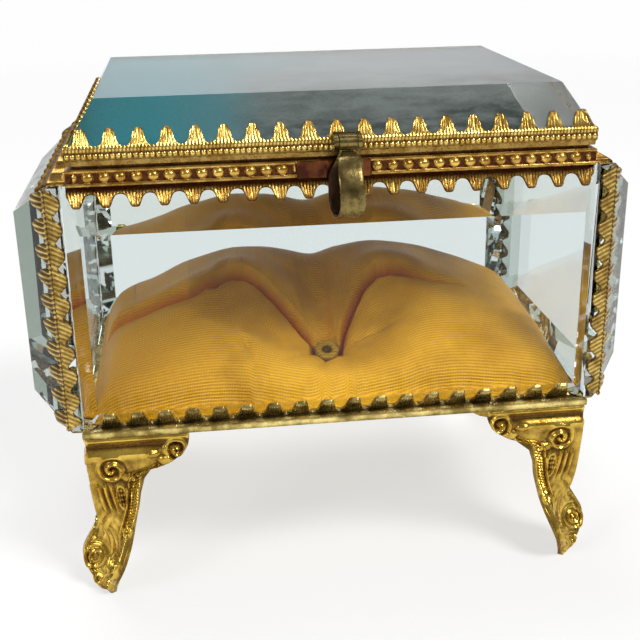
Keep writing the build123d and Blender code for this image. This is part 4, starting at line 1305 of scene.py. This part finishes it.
@dataclass(frozen=True)
class Button:
    """Covered button sunk in the cushion, dished in the middle with a dark eye; painted shade darkens its side and
    underside.
    """

    radius: float = 2.75
    thick: float = 1.7
    raised: float = 2.1  # above the top of the CAD button
    tilt: float = math.radians(32.0)  # leans to the front

    def build(self, places: Places, silk: bpy.types.Material) -> None:
        """Build the button as rings: radius and height follow a dished profile, then lean."""
        low, high = Places.box("cushion_button")
        top, bottom = 0.5 * self.thick, -0.5 * self.thick
        centre = (low + high) / 2.0
        centre[2] = high[2] + self.raised - top
        profile = (
            (1.6, bottom), (self.radius - 0.3, bottom + 0.1), (self.radius, bottom + 0.6),
            (self.radius - 0.12, top - 0.5), (self.radius - 0.5, top - 0.12), (1.65, top), (1.25, top - 0.06),
            (0.95, top - 0.3), (0.7, top - 0.75), (0.3, top - 0.9),
        )
        turn = np.linspace(0.0, 2.0 * np.pi, 72, endpoint=False)
        fold = 1.0 + 0.03 * np.cos(9.0 * turn) + 0.02 * np.cos(14.0 * turn + 1.0)
        flat = np.array(
            [np.stack([r * fold * np.cos(turn), r * fold * np.sin(turn), np.full(72, h)], -1) for r, h in profile]
        )
        cos, sin = math.cos(self.tilt), math.sin(self.tilt)
        lean = np.array([[1.0, 0.0, 0.0], [0.0, cos, sin], [0.0, -sin, cos]])
        surface = tube(flat @ lean + centre)
        # Painted shade: the side and underside go to the near black pit tone, as does the dish round the eye.
        deep = (1.0, 1.0, 0.8, 0.3, 0.0, 0.0, 0.2, 0.9, 1.0, 1.0)
        surface.recess = np.repeat(np.array(deep), 72)
        piece = make_piece("cushion_button_covered", [surface], silk, "casket", ["cushion_button"])
        lay_weave(piece.data, surface.points[:, :2])


@dataclass(frozen=True)
class Clasp:
    """Clasp bent from one strap: knuckle on the pin, tongue, and a loop curled to the front."""

    knuckle_half: float = 1.7
    knuckle: float = 1.5
    bore: float = 0.7
    tongue_half: float = 1.6
    loop_half: float = 2.35
    thickness: float = 0.8
    twist: float = 1.3  # how far the loop's back leans to the left
    # down the back, round the bottom and up the front, from the pin: outwards and up
    path: tuple[tuple[float, float], ...] = (
        (0.0, -1.0), (0.0, -2.1), (-0.1, -3.8), (-0.25, -6.8), (-0.3, -9.6), (0.1, -11.4), (1.4, -12.8),
        (3.0, -13.2), (4.6, -12.8), (5.9, -11.4), (6.3, -9.8), (5.95, -7.2), (4.7, -4.8), (2.7, -2.9), (0.75, -2.0),
    )

    def build(self, places: Places, brass: bpy.types.Material) -> None:
        """Build the strap as superellipses carried along the path, and the knuckle as a turned ring."""
        low, high = Places.box("clasp_pin")
        pin = (low + high) / 2.0
        points = np.array(self.path)
        knots = np.arange(len(points), dtype=float)
        t = np.linspace(0.0, knots[-1], 150)
        out, up = through(knots, points[:, 0], t), through(knots, points[:, 1], t)
        run = np.stack([np.gradient(out), np.gradient(up)], -1)
        run /= np.linalg.norm(run, axis=1)[:, None]
        half = self.tongue_half + (self.loop_half - self.tongue_half) * smooth(t, 0.6, 2.2)
        half = half - 0.9 * smooth(t, 13.0, 14.0)
        lean = -self.twist * (6.3 - out) / 6.3 * smooth(-up, 3.0, 6.5)
        turn = np.linspace(0.0, 2.0 * np.pi, 28, endpoint=False)
        wide = np.sign(np.cos(turn)) * np.abs(np.cos(turn)) ** 0.35
        thick = np.sign(np.sin(turn)) * np.abs(np.sin(turn)) ** 0.8 * self.thickness / 2.0
        x = pin[0] + lean[:, None] + half[:, None] * wide
        y = pin[1] - (out[:, None] + run[:, 1][:, None] * thick)
        z = pin[2] + up[:, None] - run[:, 0][:, None] * thick
        strap = tube(np.stack([x, y, z], -1), 0.25)
        # The strap's edges are rubbed brighter; painted shade makes its inner face, inside the loop, fully dark.
        wear = np.abs(wide)[None, :] * np.ones_like(t)[:, None]
        inside = (np.sin(turn) < 0.1)[None, :] * smooth(t, 1.5, 2.5)[:, None]
        strap.recess = np.maximum(0.25 - 0.25 * smooth(wear.reshape(-1), 0.9, 1.0), inside.reshape(-1))
        section = ((-1.0, 1.0), (-0.94, 0.0), (0.94, 0.0), (1.0, 1.0))
        around = np.linspace(0.0, 2.0 * np.pi, 48, endpoint=False)
        rings = []
        for share, inner in section:
            for step in (0.0, 1.0):
                radius = self.knuckle - 0.12 * (abs(share) > 0.95) * (1.0 - step)
                if inner:
                    radius = self.bore if (share < 0) == (step == 0.0) else self.knuckle - 0.12
                rings.append((share * self.knuckle_half, radius))
        rings = list(dict.fromkeys(rings))
        turned = np.array(
            [
                np.stack([np.full(48, pin[0] + a), pin[1] + r * np.cos(around), pin[2] + r * np.sin(around)], -1)
                for a, r in rings
            ]
        )
        knuckle = tube(turned, 0.2, capped=False)
        make_piece("clasp_strap", [strap, knuckle], brass, "clasp", ["clasp_loop"])


@dataclass(frozen=True)
class PrintedSheet:
    """Printed sheet stuck to the underside of the lid glass, so that no air lies between."""

    stuck: float = 0.08  # how far its face stands into the glass, past the CAD sheet's

    def build(self, view: bpy.types.Material) -> None:
        """Build the sheet as rings round a rectangle with rounded corners (a superellipse)."""
        low, high = Places.box("lid_picture")
        middle, half = (low + high) / 2.0, (high - low) / 2.0
        turn = np.linspace(0.0, 2.0 * np.pi, 160, endpoint=False)
        cos, sin = np.cos(turn), np.sin(turn)
        x, y = np.sign(cos) * np.abs(cos) ** 0.02, np.sign(sin) * np.abs(sin) ** 0.02
        rings = []
        for inset, level in ((0.06, low[2]), (0.0, low[2] + 0.06), (0.0, high[2] + self.stuck)):
            ring = [middle[0] + x * (half[0] - inset), middle[1] + y * (half[1] - inset), np.full_like(x, level)]
            rings.append(np.stack(ring, -1))
        make_piece("lid_picture_sheet", [tube(np.array(rings))], view, "lid", ["lid_picture"])


# ---------------------------------------------------------------- dressing CAD nodes


@dataclass(frozen=True)
class Fittings:
    """CAD nodes whose shape is right, each given its finish."""

    dressed: dict[str, tuple[str, ...]]

    def dress(self, finishes: dict[str, bpy.types.Material]) -> None:
        """Put each finish on its nodes."""
        for finish, names in self.dressed.items():
            for name in names:
                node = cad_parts[name]
                node.data.materials.clear()
                node.data.materials.append(finishes[finish])
                LOG.info("%s: dressed in %s", name, finish)


# ---------------------------------------------------------------- studio


@dataclass(frozen=True)
class Studio:
    """Pale floor, soft lamps and the camera at the photograph's angle."""

    camera_at: tuple[float, float, float] = (-27.3, -231.7, 135.1)
    look_at: tuple[float, float, float] = (0.36, 2.4, 45.2)
    roll: float = math.radians(-0.98)
    view_angle: float = math.radians(33.1)
    floor_colour: Colour = (0.88, 0.88, 0.88)
    sky: float = 0.2  # what lights the box; a camera sees the sky near white

    def floor(self) -> None:
        """Floor that curves up at the back: z = 0, then a quarter turn of a circle."""
        turn = np.linspace(0.0, np.pi / 2.0, 24)
        bend, back = 400.0, 900.0
        profile_y = np.concatenate([[-2500.0], back + bend * np.sin(turn)])
        profile_z = np.concatenate([[0.0], bend * (1.0 - np.cos(turn))])
        x = np.array([-2500.0, 2500.0])
        points = np.array([[a, b, c] for b, c in zip(profile_y, profile_z) for a in x]) * MM
        mesh = bpy.data.meshes.new("floor")
        mesh.from_pydata(points.tolist(), [], grid_quads(len(profile_y), 2).tolist())
        mesh.polygons.foreach_set("use_smooth", np.ones(len(mesh.polygons), bool))
        nodes = Nodes("pale_floor")
        paths = nodes.add("LightPath").outputs
        seen = nodes.calc("MAXIMUM", paths["Is Camera Ray"], paths["Is Transmission Ray"])
        seen = nodes.calc("MULTIPLY_ADD", paths["Is Glossy Ray"], 0.15, seen)
        matt = nodes.add("BsdfDiffuse", {"Color": self.floor_colour}).outputs[0]
        glow = nodes.add("Emission", {"Color": (1.0, 1.0, 1.0), "Strength": 1.0}).outputs[0]
        far = nodes.add("VectorMath", {0: nodes.place()}, operation="LENGTH").outputs["Value"]
        share = nodes.calc("MULTIPLY", seen, nodes.between(far, 0.2, 0.9, 0.62, 0.97))
        mesh.materials.append(nodes.finish(nodes.add("MixShader", {0: share, 1: matt, 2: glow}).outputs[0]))
        floor = bpy.data.objects.new("floor", mesh)
        bpy.context.scene.collection.objects.link(floor)

    def lamp(self, name: str, place: tuple[float, float, float], size: float, power: float,
             colour: Colour = (1.0, 1.0, 1.0)) -> None:
        """Square soft lamp aimed at the middle of the box."""
        light = bpy.data.lights.new(name, "AREA")
        light.shape = "SQUARE"
        light.size = size
        light.energy = power
        light.color = colour
        holder = bpy.data.objects.new(name, light)
        bpy.context.scene.collection.objects.link(holder)
        from mathutils import Vector

        spot = Vector(place)
        holder.location = spot
        holder.rotation_euler = (Vector((0.0, 0.0, 0.05)) - spot).to_track_quat("-Z", "Y").to_euler()

    def camera(self) -> None:
        """Camera with axes right, up and back, turned by the roll."""
        from mathutils import Matrix

        eye, target = np.array(self.camera_at) * MM, np.array(self.look_at) * MM
        ahead = (target - eye) / np.linalg.norm(target - eye)
        right = np.cross(ahead, UP)
        right /= np.linalg.norm(right)
        up = np.cross(right, ahead)
        tilted = right * math.cos(self.roll) + up * math.sin(self.roll)
        top = -right * math.sin(self.roll) + up * math.cos(self.roll)
        lens = bpy.data.cameras.new("camera")
        lens.angle = self.view_angle
        lens.clip_start = 0.01
        holder = bpy.data.objects.new("camera", lens)
        bpy.context.scene.collection.objects.link(holder)
        axes = np.eye(4)
        axes[:3, 0], axes[:3, 1], axes[:3, 2], axes[:3, 3] = tilted, top, -ahead, eye
        holder.matrix_world = Matrix(axes.tolist())
        bpy.context.scene.camera = holder

    def world(self) -> None:
        """Even soft sky."""
        world = bpy.data.worlds.new("sky")
        world.use_nodes = True
        tree = world.node_tree
        paths = tree.nodes.new("ShaderNodeLightPath").outputs
        seen = tree.nodes.new("ShaderNodeMath")
        seen.operation = "MAXIMUM"
        tree.links.new(paths["Is Camera Ray"], seen.inputs[0])
        tree.links.new(paths["Is Transmission Ray"], seen.inputs[1])
        strength = tree.nodes.new("ShaderNodeMapRange")
        strength.inputs["To Min"].default_value = self.sky
        strength.inputs["To Max"].default_value = 0.97
        tree.links.new(seen.outputs[0], strength.inputs["Value"])
        tree.links.new(strength.outputs["Result"], tree.nodes["Background"].inputs["Strength"])
        tree.nodes["Background"].inputs["Color"].default_value = (1.0, 1.0, 1.0, 1.0)
        bpy.context.scene.world = world

    def build(self) -> None:
        """Set the stage."""
        self.floor()
        self.world()
        self.lamp("key", (0.55, -0.62, 1.0), 0.38, 12.0)
        self.lamp("fill", (-0.85, -0.55, 0.55), 0.35, 3.4)
        self.lamp("top", (-0.15, 0.4, 1.1), 0.5, 6.5)
        self.camera()
        bpy.context.scene.view_settings.view_transform = "Standard"
        paths = bpy.context.scene.cycles
        paths.max_bounces, paths.transmission_bounces, paths.glossy_bounces = 32, 32, 12


def main() -> None:
    """Build the casket piece by piece, then light it."""
    logging.basicConfig(level=logging.INFO, format="%(name)s %(message)s")
    places = Places.read()
    gold = Gilt("stamped_gilt", (0.88, 0.62, 0.16), (0.5, 0.31, 0.055), (0.075, 0.022, 0.004), (0.13, 0.3))
    rim_gold = Gilt("rim_gilt", (0.76, 0.49, 0.11), (0.38, 0.2, 0.03), (0.07, 0.014, 0.004), (0.18, 0.36))
    cast = Gilt("cast_gilt", (0.74, 0.5, 0.085), (0.44, 0.27, 0.035), (0.09, 0.036, 0.005), (0.12, 0.28), 3.0, 0.5, 0.03)
    post = Gilt("post_gilt", (0.7, 0.49, 0.13), (0.36, 0.22, 0.045), (0.05, 0.02, 0.005), (0.14, 0.3))
    dark = Gilt("dark_gilt", (0.86, 0.68, 0.24), (0.27, 0.19, 0.045), (0.08, 0.05, 0.014), (0.14, 0.32), 3.2)
    olive = Gilt("clasp_brass", (0.25, 0.185, 0.06), (0.11, 0.075, 0.022), (0.03, 0.012, 0.005), (0.16, 0.34), 1.6)
    catch = Gilt("catch_gilt", (0.17, 0.05, 0.013), (0.05, 0.011, 0.004), (0.03, 0.006, 0.003), (0.12, 0.28), 3.0)
    silk = RibbedSilk("amber_silk").material()
    finishes = {
        "gold": gold.material(),
        "rim": rim_gold.material(),
        "cast": cast.material(),
        "post": post.material(),
        "dark": dark.material(),
        "olive": olive.material(),
        "catch": catch.material(),
        "glass": BevelledGlass("bevelled_glass").material(),
        "front_glass": BevelledGlass("front_glass_tint", bevel_shade=(0.78, 0.8, 0.74)).material(),
        "lid_glass": BevelledGlass("lid_glass_tint", (0.66, 0.78, 0.79), (0.42, 0.47, 0.45), sheen=0.13).material(),
        "view": LakeView("printed_view", places.picture_middle).material(),
        "card": Card("grey_card").material(),
        "cord": Card("amber_cord", (0.5, 0.3, 0.06), (0.33, 0.18, 0.03), 0.3).material(),
    }
    for side in Side:
        LidTrim().build(side, places, finishes["gold"])
        Rim().build(side, places, finishes["rim"])
        BaseRail().build(side, places, finishes["dark"])
    for corner in Corner:
        CornerPost().build(corner, places, finishes["post"])
        Foot().build(corner, places, finishes["cast"])
    Cushion().build(places, silk)
    Button().build(places, RibbedSilk("button_silk", (0.34, 0.2, 0.02), (0.22, 0.12, 0.01), (0.1, 0.05, 0.006)).material())
    PrintedSheet().build(finishes["view"])
    Clasp().build(places, finishes["olive"])
    Fittings(
        {
            "front_glass": ("glass_front",),
            "glass": ("glass_back", "glass_left", "glass_right"),
            "lid_glass": ("lid_glass",),
            "card": ("cushion_board",),
            "cord": ("tuft_thread",),
            "dark": ("base_plate", "hinge_leaf_body", "hinge_leaf_lid", "hinge_pin"),
            "catch": ("catch_plate",),
            "olive": ("clasp_lug", "clasp_pin", "catch_stud"),
        }
    ).dress(finishes)
    Studio().build()


if __name__ == "__main__":
    main()
